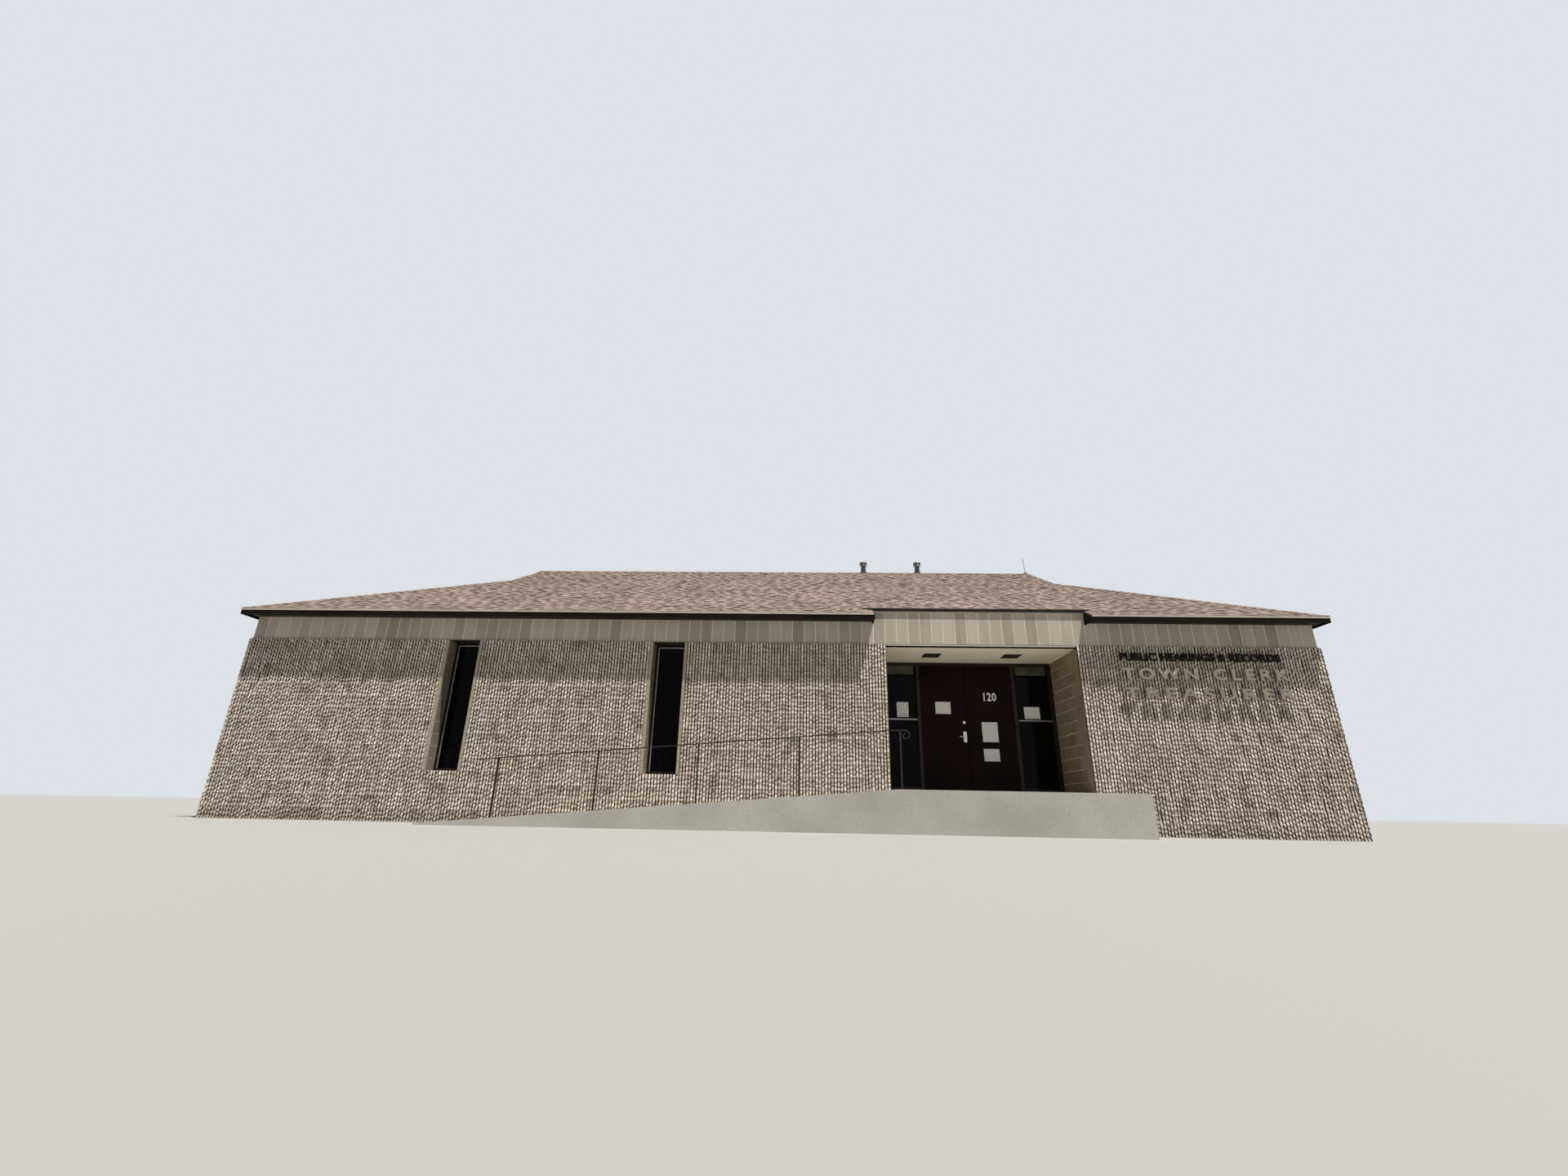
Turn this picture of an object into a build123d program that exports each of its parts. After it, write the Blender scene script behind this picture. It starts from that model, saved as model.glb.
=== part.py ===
"""One-storey town hall of ribbed concrete block under a low Dutch-gable roof.

Units are millimetres. X runs along the front with +X to the right, +Y runs into the
building and +Z is up. The ground is at Z = 0 and the origin is the middle of the base.
"""

import os

from build123d import *

# Masonry module, and the building measured in whole and part blocks.
COURSE = 203.2
BLOCK = 406.4
FRONT_BLOCKS = 46
SIDE_BLOCKS = 22
WALL_COURSES = 15
WALL_THICKNESS = 295.0
RIB_DEPTH = 30.0

# Floor and ceiling.
FLOOR_COURSES = 3
FLOOR_THICKNESS = 150.0
CEILING_THICKNESS = 150.0

# Window slots: the block each starts at, how wide they are and how high they begin.
FRONT_SLOTS = (9.0, 18.0)
SIDE_SLOTS = (6.0 + 2 / 3, 14.0)
REAR_SLOTS = (8.0, 18.0, 26.0 + 2 / 3, 36.0 + 2 / 3)
SLOT_BLOCKS = 4 / 3
SILL_COURSES = 4
WINDOW_SETBACK = 230.0
WINDOW_FRAME_DEPTH = 60.0
WINDOW_FRAME_FACE = 45.0
GLASS_THICKNESS = 12.0

# Entrance recess, its soffit and the two light wells in it.
RECESS_START = 28
RECESS_BLOCKS = 8
RECESS_DEPTH = 1219.2
RECESS_HEIGHT = 2400.0
ENTRANCE_SOFFIT = 30.0
TRIM_DROP = 5.0
TRIM_HEIGHT = 43.4
TRIM_DEPTH = 38.0
LIGHT_SIZE = 280.0
LIGHT_HEIGHT = 305.0
LIGHT_WALL = 6.0
LIGHT_SPREAD = 720.0
LIGHT_BACK = 650.0

# Entrance screen: two leaves between fixed sidelights.
SCREEN_DEPTH = 114.0
SCREEN_JAMB = 76.0
SCREEN_MULLION = 60.0
SCREEN_HEAD = 65.0
SIDELIGHT_SILL = 110.0
SIDELIGHT_BAR = 45.0
SIDELIGHT_BAR_Z = 1290.0
DOORWAY_WIDTH = 1720.0
DOOR_THICKNESS = 45.0
DOOR_GAP = 5.0
MEETING_GAP = 8.0
DOOR_FRONT = 12.0
THRESHOLD_HEIGHT = 13.0
STOP_SIZE = 16.0

# Butt hinges, lever lock and deadbolt.
HINGE_RADIUS = 6.0
HINGE_STAND_OFF = 9.0
HINGE_HEIGHT = 114.0
HINGE_LEAF = 28.0
HINGE_PLATE = 3.0
HINGE_PLAY = 0.3
HINGE_EDGE = 230.0
LEVER_Z = 1010.0
DEADBOLT_Z = 1270.0
LOCK_BACKSET = 70.0
LOCK_PLATE_WIDTH = 62.0
LOCK_PLATE_HEIGHT = 200.0
LOCK_PLATE_THICKNESS = 12.0
LOCK_PLATE_FLAT = 2.0
LEVER_LENGTH = 115.0
LEVER_RADIUS = 9.0
LEVER_STAND_OFF = 45.0
DEADBOLT_RADIUS = 26.0
DEADBOLT_THICKNESS = 14.0

# Siding band above the blocks.
SIDING_THICKNESS = 140.0
SIDING_SETBACK = 12.0

# Roof, eaves and the roof edge over the entrance.
ROOF_PITCH = 0.53
ROOF_THICKNESS = 30.0
EAVE_Z = 3523.0
FRONT_OVERHANG = 280.0
SIDE_OVERHANG = 90.0
HIP_RUN = 3180.0
RAKE_OVERHANG = 100.0
FASCIA_THICKNESS = 20.0
FASCIA_HEIGHT = 72.0
SOFFIT_Z = 3454.4
SOFFIT_THICKNESS = 12.0
EDGE_THICKNESS = 25.0
EDGE_RISE = 24.0
DRIP_HEIGHT = 24.0
DRIP_THICKNESS = 8.0

# Louvred gablets.
GABLE_THICKNESS = 40.0
GABLE_BORDER = 90.0
LOUVRE_PITCH = 75.0
LOUVRE_THICKNESS = 8.0
LOUVRE_DROP = 55.0
LOUVRE_HOUSING = 12.0

# Flue vents and the thin rod on the ridge.
VENT_PLACES = (2100.0, 3470.0)
VENT_RADIUS = 60.0
VENT_RISE = 225.0
VENT_CAP_RADIUS = 90.0
VENT_CAP_HEIGHT = 60.0
VENT_COLLAR_RADIUS = 85.0
VENT_COLLAR_HEIGHT = 30.0
ROD_RADIUS = 7.0
ROD_HEIGHT = 430.0
ROD_LEAN = 4.0
ROD_FOOT_RADIUS = 45.0
ROD_FOOT_HEIGHT = 40.0
ROD_INSET = 60.0

# Ramp, landing and handrail.
RAMP_RATIO = 12.0
RAMP_TOE = 20.0
RAMP_JOINT = 10.0
WALK_WIDTH = 1100.0
LANDING_START = 2000.0
LANDING_MARGIN = 320.0
RAIL_LINE = 950.0
RAIL_HEIGHT = 860.0
RAIL_WIDTH = 38.0
RAIL_THICKNESS = 13.0
RAIL_POST = 25.0
RAIL_POST_SPACING = 1524.0
RAIL_SPANS = 4
RAIL_TAIL = 330.0
RAIL_END = 160.0
SCROLL_RADIUS = 62.0
SCROLL_INNER_RADIUS = 36.0

# Levels and lines that follow from the sizes above.
LENGTH = FRONT_BLOCKS * BLOCK
DEPTH = SIDE_BLOCKS * BLOCK
HALF = LENGTH / 2
TOTAL_DEPTH = WALK_WIDTH + DEPTH + FRONT_OVERHANG
FACE = WALK_WIDTH - TOTAL_DEPTH / 2
REAR = FACE + DEPTH
MIDDLE = (FACE + REAR) / 2
FLOOR_Z = FLOOR_COURSES * COURSE
WALL_TOP = WALL_COURSES * COURSE
SILL_Z = SILL_COURSES * COURSE
SLOT_WIDTH = SLOT_BLOCKS * BLOCK
RECESS_LEFT = -HALF + RECESS_START * BLOCK
RECESS_RIGHT = RECESS_LEFT + RECESS_BLOCKS * BLOCK
RECESS_MIDDLE = (RECESS_LEFT + RECESS_RIGHT) / 2
RECESS_TOP = FLOOR_Z + RECESS_HEIGHT
RECESS_HEAD = RECESS_TOP - TRIM_DROP + TRIM_HEIGHT
SCREEN_FRONT = FACE + RECESS_DEPTH
SCREEN_BACK = SCREEN_FRONT + SCREEN_DEPTH
DOOR_FACE = SCREEN_FRONT + DOOR_FRONT
DOOR_LOW = FLOOR_Z + THRESHOLD_HEIGHT + DOOR_GAP
HEAD_LOW = RECESS_TOP - SCREEN_HEAD
DOOR_HIGH = HEAD_LOW - DOOR_GAP
DOORWAY_LEFT = RECESS_MIDDLE - DOORWAY_WIDTH / 2
DOORWAY_RIGHT = RECESS_MIDDLE + DOORWAY_WIDTH / 2
EAVE_X = HALF + SIDE_OVERHANG
EAVE_FRONT = FACE - FRONT_OVERHANG
EAVE_REAR = REAR + FRONT_OVERHANG
GABLE_X = EAVE_X - HIP_RUN
BREAK_Z = EAVE_Z + ROOF_PITCH * HIP_RUN
RIDGE_Z = EAVE_Z + ROOF_PITCH * (MIDDLE - EAVE_FRONT)
NOTCH_LEFT = RECESS_LEFT - BLOCK / 2
NOTCH_RIGHT = RECESS_RIGHT + BLOCK / 2
RAMP_START = LANDING_START - (FLOOR_Z - RAMP_TOE) * RAMP_RATIO
SKY = 2 * RIDGE_Z

CORNER = (Align.MIN, Align.MIN, Align.MIN)
STANDING = (Align.CENTER, Align.CENTER, Align.MIN)


def block(x0, x1, y0, y1, z0, z1):
    """A rectangular solid between two corners."""
    return Pos(x0, y0, z0) * Box(x1 - x0, y1 - y0, z1 - z0, align=CORNER)


def front_to_back(points, y0, y1):
    """A solid with the outline of (x, z) points, running from y0 to y1."""
    plane = Plane((0, y1, 0), x_dir=(1, 0, 0), z_dir=(0, -1, 0))
    return extrude(plane * make_face(Polyline(*points, close=True)), y1 - y0)


def left_to_right(points, x0, x1):
    """A solid with the outline of (y, z) points, running from x0 to x1."""
    plane = Plane((x0, 0, 0), x_dir=(0, 1, 0), z_dir=(1, 0, 0))
    return extrude(plane * make_face(Polyline(*points, close=True)), x1 - x0)


def upright(points, z0, z1):
    """A solid with the plan outline of (x, y) points, standing from z0 to z1."""
    return extrude(Plane((0, 0, z0)) * make_face(Polyline(*points, close=True)), z1 - z0)


def towards_front(x, y, z, radius, length):
    """A round bar that starts at a point and runs out towards the front."""
    return Plane((x, y, z), z_dir=(0, -1, 0)) * Cylinder(radius, length, align=STANDING)


def save(name, *solids):
    """Write one sub-part, of one solid or of several that don't touch."""
    shape = solids[0] if len(solids) == 1 else Compound(children=list(solids))
    export_step(shape, f"parts/{name}.step")


def roof_volume(drop):
    """Everything below the roof's top when that is lowered by drop."""
    across = left_to_right(
        [
            (EAVE_FRONT, 0),
            (EAVE_REAR, 0),
            (EAVE_REAR, EAVE_Z - drop),
            (MIDDLE, RIDGE_Z - drop),
            (EAVE_FRONT, EAVE_Z - drop),
        ],
        -EAVE_X,
        EAVE_X,
    )
    along = front_to_back(
        [
            (-EAVE_X, 0),
            (EAVE_X, 0),
            (EAVE_X, EAVE_Z - drop),
            (GABLE_X, BREAK_Z - drop),
            (GABLE_X, SKY),
            (-GABLE_X, SKY),
            (-GABLE_X, BREAK_Z - drop),
            (-EAVE_X, EAVE_Z - drop),
        ],
        EAVE_FRONT,
        EAVE_REAR,
    )
    return across & along


ROOF_TOP = roof_volume(0)
ROOF_UNDERSIDE = roof_volume(ROOF_THICKNESS)


def cut_slots_along_x(wall, starts, y0, y1):
    """Cut window slots through a front or rear wall."""
    for start in starts:
        low = -HALF + start * BLOCK
        wall -= block(low, low + SLOT_WIDTH, y0, y1, SILL_Z, WALL_TOP)
    return wall


def front_and_rear_walls():
    """Block walls along the front, beside the recess, and along the rear in two lengths."""
    inner_front = FACE + WALL_THICKNESS
    inner_rear = REAR - WALL_THICKNESS
    left = block(-HALF, RECESS_LEFT, FACE, inner_front, 0, WALL_TOP)
    save("front_wall_left", cut_slots_along_x(left, FRONT_SLOTS, FACE, inner_front))
    save("front_wall_right", block(RECESS_RIGHT, HALF, FACE, inner_front, 0, WALL_TOP))
    for name, x0, x1 in (("rear_wall_left", -HALF, 0), ("rear_wall_right", 0, HALF)):
        rear = block(x0, x1, inner_rear, REAR, 0, WALL_TOP)
        save(name, cut_slots_along_x(rear, REAR_SLOTS, inner_rear, REAR))


def side_walls():
    """Block walls of the two sides, between the front and rear ones."""
    inner_x = HALF - WALL_THICKNESS
    for name, x0, x1 in (("left_wall", -HALF, -inner_x), ("right_wall", inner_x, HALF)):
        wall = block(x0, x1, FACE + WALL_THICKNESS, REAR - WALL_THICKNESS, 0, WALL_TOP)
        for start in SIDE_SLOTS:
            low = FACE + start * BLOCK
            wall -= block(x0, x1, low, low + SLOT_WIDTH, SILL_Z, WALL_TOP)
        save(name, wall)


def entrance_walls():
    """Plain block returns on the two sides of the recess."""
    returns = []
    for x0 in (RECESS_LEFT - WALL_THICKNESS, RECESS_RIGHT):
        returns.append(block(x0, x0 + WALL_THICKNESS, FACE + WALL_THICKNESS, SCREEN_BACK, 0, WALL_TOP))
    save("entrance_walls", *returns)


def floor_slab():
    """Concrete floor between the walls, stepped back behind the recess."""
    inner_x = HALF - WALL_THICKNESS
    inner_front = FACE + WALL_THICKNESS
    low = FLOOR_Z - FLOOR_THICKNESS
    slab = block(-inner_x, inner_x, inner_front, REAR - WALL_THICKNESS, low, FLOOR_Z)
    returns_left = RECESS_LEFT - WALL_THICKNESS
    returns_right = RECESS_RIGHT + WALL_THICKNESS
    save("floor_slab", slab - block(returns_left, returns_right, inner_front, SCREEN_BACK, low, FLOOR_Z))


def ceiling():
    """Ceiling that bears on the wall tops and stops short of the recess."""
    band = SIDING_SETBACK + SIDING_THICKNESS
    top = WALL_TOP + CEILING_THICKNESS
    slab = block(-HALF + band, HALF - band, FACE + band, REAR - band, WALL_TOP, top)
    save("ceiling", slab - block(RECESS_LEFT, RECESS_RIGHT, FACE, SCREEN_BACK, WALL_TOP, top))


def siding():
    """Bands of siding on the blocks and over the recess, cut to the underside of the roof."""
    out_x = HALF - SIDING_SETBACK
    in_x = out_x - SIDING_THICKNESS
    front = FACE + SIDING_SETBACK
    rear = REAR - SIDING_SETBACK
    front_back = front + SIDING_THICKNESS
    rear_back = rear - SIDING_THICKNESS
    band = block(-out_x, out_x, front, front_back, WALL_TOP, SKY)
    band -= block(RECESS_LEFT, RECESS_RIGHT, front, front_back, 0, RECESS_HEAD)
    band += block(RECESS_LEFT, RECESS_RIGHT, front, front_back, RECESS_HEAD, SKY)
    save("front_siding", band & ROOF_UNDERSIDE)
    save("rear_siding", block(-out_x, out_x, rear_back, rear, WALL_TOP, SKY) & ROOF_UNDERSIDE)
    left = block(-out_x, -in_x, front_back, rear_back, WALL_TOP, SKY) & ROOF_UNDERSIDE
    right = block(in_x, out_x, front_back, rear_back, WALL_TOP, SKY) & ROOF_UNDERSIDE
    save("side_siding", left, right)


def main_slopes():
    """Front and rear roof slabs, mitred at the hips, the front one cut back at the entrance."""
    shell = ROOF_TOP - ROOF_UNDERSIDE
    for name, eave, hip_end in (
        ("roof_front", EAVE_FRONT, EAVE_FRONT + HIP_RUN),
        ("roof_rear", EAVE_REAR, EAVE_REAR - HIP_RUN),
    ):
        plan = [
            (-EAVE_X, eave),
            (EAVE_X, eave),
            (GABLE_X, hip_end),
            (GABLE_X, MIDDLE),
            (-GABLE_X, MIDDLE),
            (-GABLE_X, hip_end),
        ]
        slope = shell & upright(plan, 0, SKY)
        if name == "roof_front":
            slope -= block(NOTCH_LEFT, NOTCH_RIGHT, EAVE_FRONT, FACE, 0, SKY)
        save(name, slope)


def gable_seat_x():
    """How far in from the middle the side slopes run on under the rakes."""
    return GABLE_X - RAKE_OVERHANG - GABLE_THICKNESS


def hip_slopes():
    """Side roof slabs, which run on under the rakes to carry the gablets."""
    shell = ROOF_TOP - ROOF_UNDERSIDE
    seat_x = gable_seat_x()
    seat_z = BREAK_Z + ROOF_PITCH * (GABLE_X - seat_x)
    for name, side in (("roof_left", -1), ("roof_right", 1)):
        plan = [
            (side * GABLE_X, EAVE_FRONT + HIP_RUN),
            (side * EAVE_X, EAVE_FRONT),
            (side * EAVE_X, EAVE_REAR),
            (side * GABLE_X, EAVE_REAR - HIP_RUN),
        ]
        tongue = front_to_back(
            [
                (side * GABLE_X, BREAK_Z),
                (side * seat_x, seat_z),
                (side * seat_x, seat_z - ROOF_THICKNESS),
                (side * GABLE_X, BREAK_Z - ROOF_THICKNESS),
            ],
            EAVE_FRONT,
            EAVE_REAR,
        )
        save(name, (shell & upright(plan, 0, SKY)) + (tongue & ROOF_UNDERSIDE))


def gablets():
    """Triangular louvred vents that close the ridge's ends, set in under the rakes."""
    outer = GABLE_X - RAKE_OVERHANG
    inner = gable_seat_x()
    apex_z = RIDGE_Z - ROOF_THICKNESS
    half_base = (apex_z - BREAK_Z) / ROOF_PITCH
    seat_z = BREAK_Z + ROOF_PITCH * (GABLE_X - inner)
    open_low = seat_z + GABLE_BORDER
    open_top = apex_z - GABLE_BORDER
    open_half = (open_top - open_low) / ROOF_PITCH
    blades = int((open_top - open_low) / LOUVRE_PITCH)
    vents = []
    for side in (-1, 1):
        low, high = sorted((side * inner, side * outer))
        outline = [(MIDDLE - half_base, BREAK_Z), (MIDDLE + half_base, BREAK_Z), (MIDDLE, apex_z)]
        opening = [(MIDDLE - open_half, open_low), (MIDDLE + open_half, open_low), (MIDDLE, open_top)]
        reach = open_half + LOUVRE_HOUSING / ROOF_PITCH
        housed = [(MIDDLE - reach, open_low), (MIDDLE + reach, open_low), (MIDDLE, open_top + LOUVRE_HOUSING)]
        board = left_to_right(outline, low, high)
        hole = left_to_right(opening, low, high)
        blade_space = left_to_right(housed, low, high)
        below_slope = front_to_back(
            [
                (side * inner, seat_z),
                (side * GABLE_X, BREAK_Z),
                (side * GABLE_X, 0),
                (side * inner, 0),
            ],
            EAVE_FRONT,
            EAVE_REAR,
        )
        vent = board - hole - below_slope
        for step in range(blades):
            z = open_low + (step + 0.25) * LOUVRE_PITCH
            blade = front_to_back(
                [
                    (side * outer, z),
                    (side * outer, z + LOUVRE_THICKNESS),
                    (side * inner, z + LOUVRE_DROP + LOUVRE_THICKNESS),
                    (side * inner, z + LOUVRE_DROP),
                ],
                EAVE_FRONT,
                EAVE_REAR,
            )
            vent += blade & blade_space
        vents.append(vent)
    save("gable_vents", *vents)


def fascias():
    """Boards hung under the edge of the roof slabs, returned to the wall at the entrance."""
    top = EAVE_Z - ROOF_THICKNESS
    low = top - FASCIA_HEIGHT
    inside_x = EAVE_X - FASCIA_THICKNESS
    inside_front = EAVE_FRONT + FASCIA_THICKNESS
    inside_rear = EAVE_REAR - FASCIA_THICKNESS
    siding_front = FACE + SIDING_SETBACK
    fronts = []
    for x0, x1, end in (
        (-EAVE_X, NOTCH_LEFT, NOTCH_LEFT - FASCIA_THICKNESS),
        (NOTCH_RIGHT, EAVE_X, NOTCH_RIGHT),
    ):
        board = block(x0, x1, EAVE_FRONT, inside_front, low, top)
        cheek = block(end, end + FASCIA_THICKNESS, EAVE_FRONT, siding_front, low, SKY)
        fronts.append(board + (cheek & ROOF_UNDERSIDE))
    save("front_fascias", *fronts)
    save("rear_fascia", block(-EAVE_X, EAVE_X, inside_rear, EAVE_REAR, low, top))
    left = block(-EAVE_X, -inside_x, inside_front, inside_rear, low, top)
    right = block(inside_x, EAVE_X, inside_front, inside_rear, low, top)
    save("side_fascias", left, right)


def soffits():
    """Flat boards under the overhangs, between the fascias and the siding."""
    inside_x = EAVE_X - FASCIA_THICKNESS
    inside_front = EAVE_FRONT + FASCIA_THICKNESS
    inside_rear = EAVE_REAR - FASCIA_THICKNESS
    siding_front = FACE + SIDING_SETBACK
    siding_rear = REAR - SIDING_SETBACK
    siding_x = HALF - SIDING_SETBACK
    top = SOFFIT_Z + SOFFIT_THICKNESS
    end_left = NOTCH_LEFT - FASCIA_THICKNESS
    end_right = NOTCH_RIGHT + FASCIA_THICKNESS
    save(
        "front_soffits",
        block(-inside_x, end_left, inside_front, siding_front, SOFFIT_Z, top),
        block(end_right, inside_x, inside_front, siding_front, SOFFIT_Z, top),
    )
    save("rear_soffit", block(-inside_x, inside_x, siding_rear, inside_rear, SOFFIT_Z, top))
    save(
        "side_soffits",
        block(-inside_x, -siding_x, siding_front, siding_rear, SOFFIT_Z, top),
        block(siding_x, inside_x, siding_front, siding_rear, SOFFIT_Z, top),
    )


def entrance_roof_edge():
    """Black edge board and pale drip strip where the roof is cut back over the entrance."""
    slab_top = EAVE_Z + ROOF_PITCH * FRONT_OVERHANG
    slab_low = slab_top - ROOF_THICKNESS
    edge_top = slab_top + EDGE_RISE
    save("entrance_roof_edge", block(NOTCH_LEFT, NOTCH_RIGHT, FACE - EDGE_THICKNESS, FACE, slab_low, edge_top))
    back = FACE + SIDING_SETBACK
    strip = block(NOTCH_LEFT, NOTCH_RIGHT, FACE - DRIP_THICKNESS, back, slab_low - DRIP_HEIGHT, slab_low)
    save("entrance_drip_strip", strip)


def slot_window(low, high, near, far, along_x):
    """One slot window: a four-sided frame and the pane that it holds."""
    face = WINDOW_FRAME_FACE
    pane_near = (near + far - GLASS_THICKNESS) / 2
    pane_far = pane_near + GLASS_THICKNESS
    sill = SILL_Z + face
    top = WALL_TOP - face
    if along_x:
        frame = block(low, high, near, far, SILL_Z, WALL_TOP)
        frame -= block(low + face, high - face, near, far, sill, top)
        return frame, block(low + face, high - face, pane_near, pane_far, sill, top)
    frame = block(near, far, low, high, SILL_Z, WALL_TOP)
    frame -= block(near, far, low + face, high - face, sill, top)
    return frame, block(pane_near, pane_far, low + face, high - face, sill, top)


def windows():
    """Bronze frames and dark glass in every slot of the front, the rear and the two sides."""
    near = WINDOW_SETBACK
    far = WINDOW_SETBACK + WINDOW_FRAME_DEPTH
    pairs = []
    for starts, origin, inner, outer, along_x in (
        (FRONT_SLOTS, -HALF, FACE + near, FACE + far, True),
        (REAR_SLOTS, -HALF, REAR - far, REAR - near, True),
        (SIDE_SLOTS, FACE, -HALF + near, -HALF + far, False),
        (SIDE_SLOTS, FACE, HALF - far, HALF - near, False),
    ):
        for start in starts:
            low = origin + start * BLOCK
            pairs.append(slot_window(low, low + SLOT_WIDTH, inner, outer, along_x))
    save("window_frames", *[frame for frame, _ in pairs])
    save("window_glass", *[pane for _, pane in pairs])


def entrance_soffit():
    """Flat soffit over the recess with two square light wells, and its dark front trim."""
    trim_front = FACE + SIDING_SETBACK
    trim_back = trim_front + TRIM_DEPTH
    trim_low = RECESS_TOP - TRIM_DROP
    save("entrance_trim", block(RECESS_LEFT, RECESS_RIGHT, trim_front, trim_back, trim_low, RECESS_HEAD))
    soffit_top = RECESS_TOP + ENTRANCE_SOFFIT
    well_top = soffit_top + LIGHT_HEIGHT
    soffit = block(RECESS_LEFT, RECESS_RIGHT, trim_back, SCREEN_BACK, RECESS_TOP, soffit_top)
    half = LIGHT_SIZE / 2
    outer = half + LIGHT_WALL
    y = FACE + LIGHT_BACK
    housings = []
    for side in (-1, 1):
        x = RECESS_MIDDLE + side * LIGHT_SPREAD
        well = block(x - half, x + half, y - half, y + half, RECESS_TOP, well_top)
        housing = block(x - outer, x + outer, y - outer, y + outer, soffit_top, well_top + LIGHT_WALL)
        soffit -= well
        housings.append(housing - well)
    save("entrance_soffit", soffit)
    save("soffit_lights", *housings)


def hinge_levels():
    """Bottom of each of the three hinges of a leaf."""
    first = DOOR_LOW + HINGE_EDGE
    last = DOOR_HIGH - HINGE_EDGE - HINGE_HEIGHT
    return (first, (first + last) / 2, last)


def knuckle(pin_x, side, low, high):
    """A hinge's knuckle round its pin, with the plate that fixes it on one side of the pin."""
    barrel = Pos(pin_x, DOOR_FACE - HINGE_STAND_OFF, low) * Cylinder(HINGE_RADIUS, high - low, align=STANDING)
    x0, x1 = sorted((pin_x, pin_x + side * HINGE_LEAF))
    plate_front = DOOR_FACE - HINGE_STAND_OFF + HINGE_PLATE
    return barrel + block(x0, x1, plate_front, DOOR_FACE, low, high)


def entrance_posts():
    """Jambs and mullions of the screen, the mullions with the door stops and fixed knuckles."""
    third = HINGE_HEIGHT / 3
    stop_front = DOOR_FACE + DOOR_THICKNESS + DOOR_GAP
    posts = [
        block(RECESS_LEFT, RECESS_LEFT + SCREEN_JAMB, DOOR_FACE, SCREEN_BACK, FLOOR_Z, HEAD_LOW),
        block(RECESS_RIGHT - SCREEN_JAMB, RECESS_RIGHT, DOOR_FACE, SCREEN_BACK, FLOOR_Z, HEAD_LOW),
    ]
    for edge, inward in ((DOORWAY_LEFT, 1), (DOORWAY_RIGHT, -1)):
        x0, x1 = sorted((edge, edge - inward * SCREEN_MULLION))
        stop0, stop1 = sorted((edge, edge + inward * STOP_SIZE))
        pin_x = edge + inward * DOOR_GAP / 2
        post = block(x0, x1, DOOR_FACE, SCREEN_BACK, FLOOR_Z, HEAD_LOW)
        post += block(stop0, stop1, stop_front, SCREEN_BACK, FLOOR_Z + THRESHOLD_HEIGHT, HEAD_LOW)
        for low in hinge_levels():
            post += knuckle(pin_x, -inward, low, low + third - HINGE_PLAY)
            post += knuckle(pin_x, -inward, low + 2 * third + HINGE_PLAY, low + HINGE_HEIGHT)
        posts.append(post)
    save("entrance_posts", *posts)


def entrance_screen():
    """Head, sidelight rails, glass and threshold of the entrance screen."""
    save("entrance_head", block(RECESS_LEFT, RECESS_RIGHT, DOOR_FACE, SCREEN_BACK, HEAD_LOW, RECESS_TOP))
    glass_front = (DOOR_FACE + SCREEN_BACK - GLASS_THICKNESS) / 2
    glass_back = glass_front + GLASS_THICKNESS
    sill_top = FLOOR_Z + SIDELIGHT_SILL
    bar_low = FLOOR_Z + SIDELIGHT_BAR_Z
    bar_top = bar_low + SIDELIGHT_BAR
    rails = []
    panes = []
    for x0, x1 in (
        (RECESS_LEFT + SCREEN_JAMB, DOORWAY_LEFT - SCREEN_MULLION),
        (DOORWAY_RIGHT + SCREEN_MULLION, RECESS_RIGHT - SCREEN_JAMB),
    ):
        rails.append(block(x0, x1, DOOR_FACE, SCREEN_BACK, FLOOR_Z, sill_top))
        rails.append(block(x0, x1, DOOR_FACE, SCREEN_BACK, bar_low, bar_top))
        panes.append(block(x0, x1, glass_front, glass_back, sill_top, bar_low))
        panes.append(block(x0, x1, glass_front, glass_back, bar_top, HEAD_LOW))
    save("sidelight_rails", *rails)
    save("sidelight_glass", *panes)
    threshold_top = FLOOR_Z + THRESHOLD_HEIGHT
    save("threshold", block(DOORWAY_LEFT, DOORWAY_RIGHT, DOOR_FACE, SCREEN_BACK, FLOOR_Z, threshold_top))


def door_leaves():
    """Two flush leaves, each with the middle knuckles of its three hinges."""
    third = HINGE_HEIGHT / 3
    back = DOOR_FACE + DOOR_THICKNESS
    half_gap = MEETING_GAP / 2
    for name, x0, x1, pin_x, side in (
        ("door_left", DOORWAY_LEFT + DOOR_GAP, RECESS_MIDDLE - half_gap, DOORWAY_LEFT + DOOR_GAP / 2, 1),
        ("door_right", RECESS_MIDDLE + half_gap, DOORWAY_RIGHT - DOOR_GAP, DOORWAY_RIGHT - DOOR_GAP / 2, -1),
    ):
        leaf = block(x0, x1, DOOR_FACE, back, DOOR_LOW, DOOR_HIGH)
        for low in hinge_levels():
            leaf += knuckle(pin_x, side, low + third, low + 2 * third)
        save(name, leaf)


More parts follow.
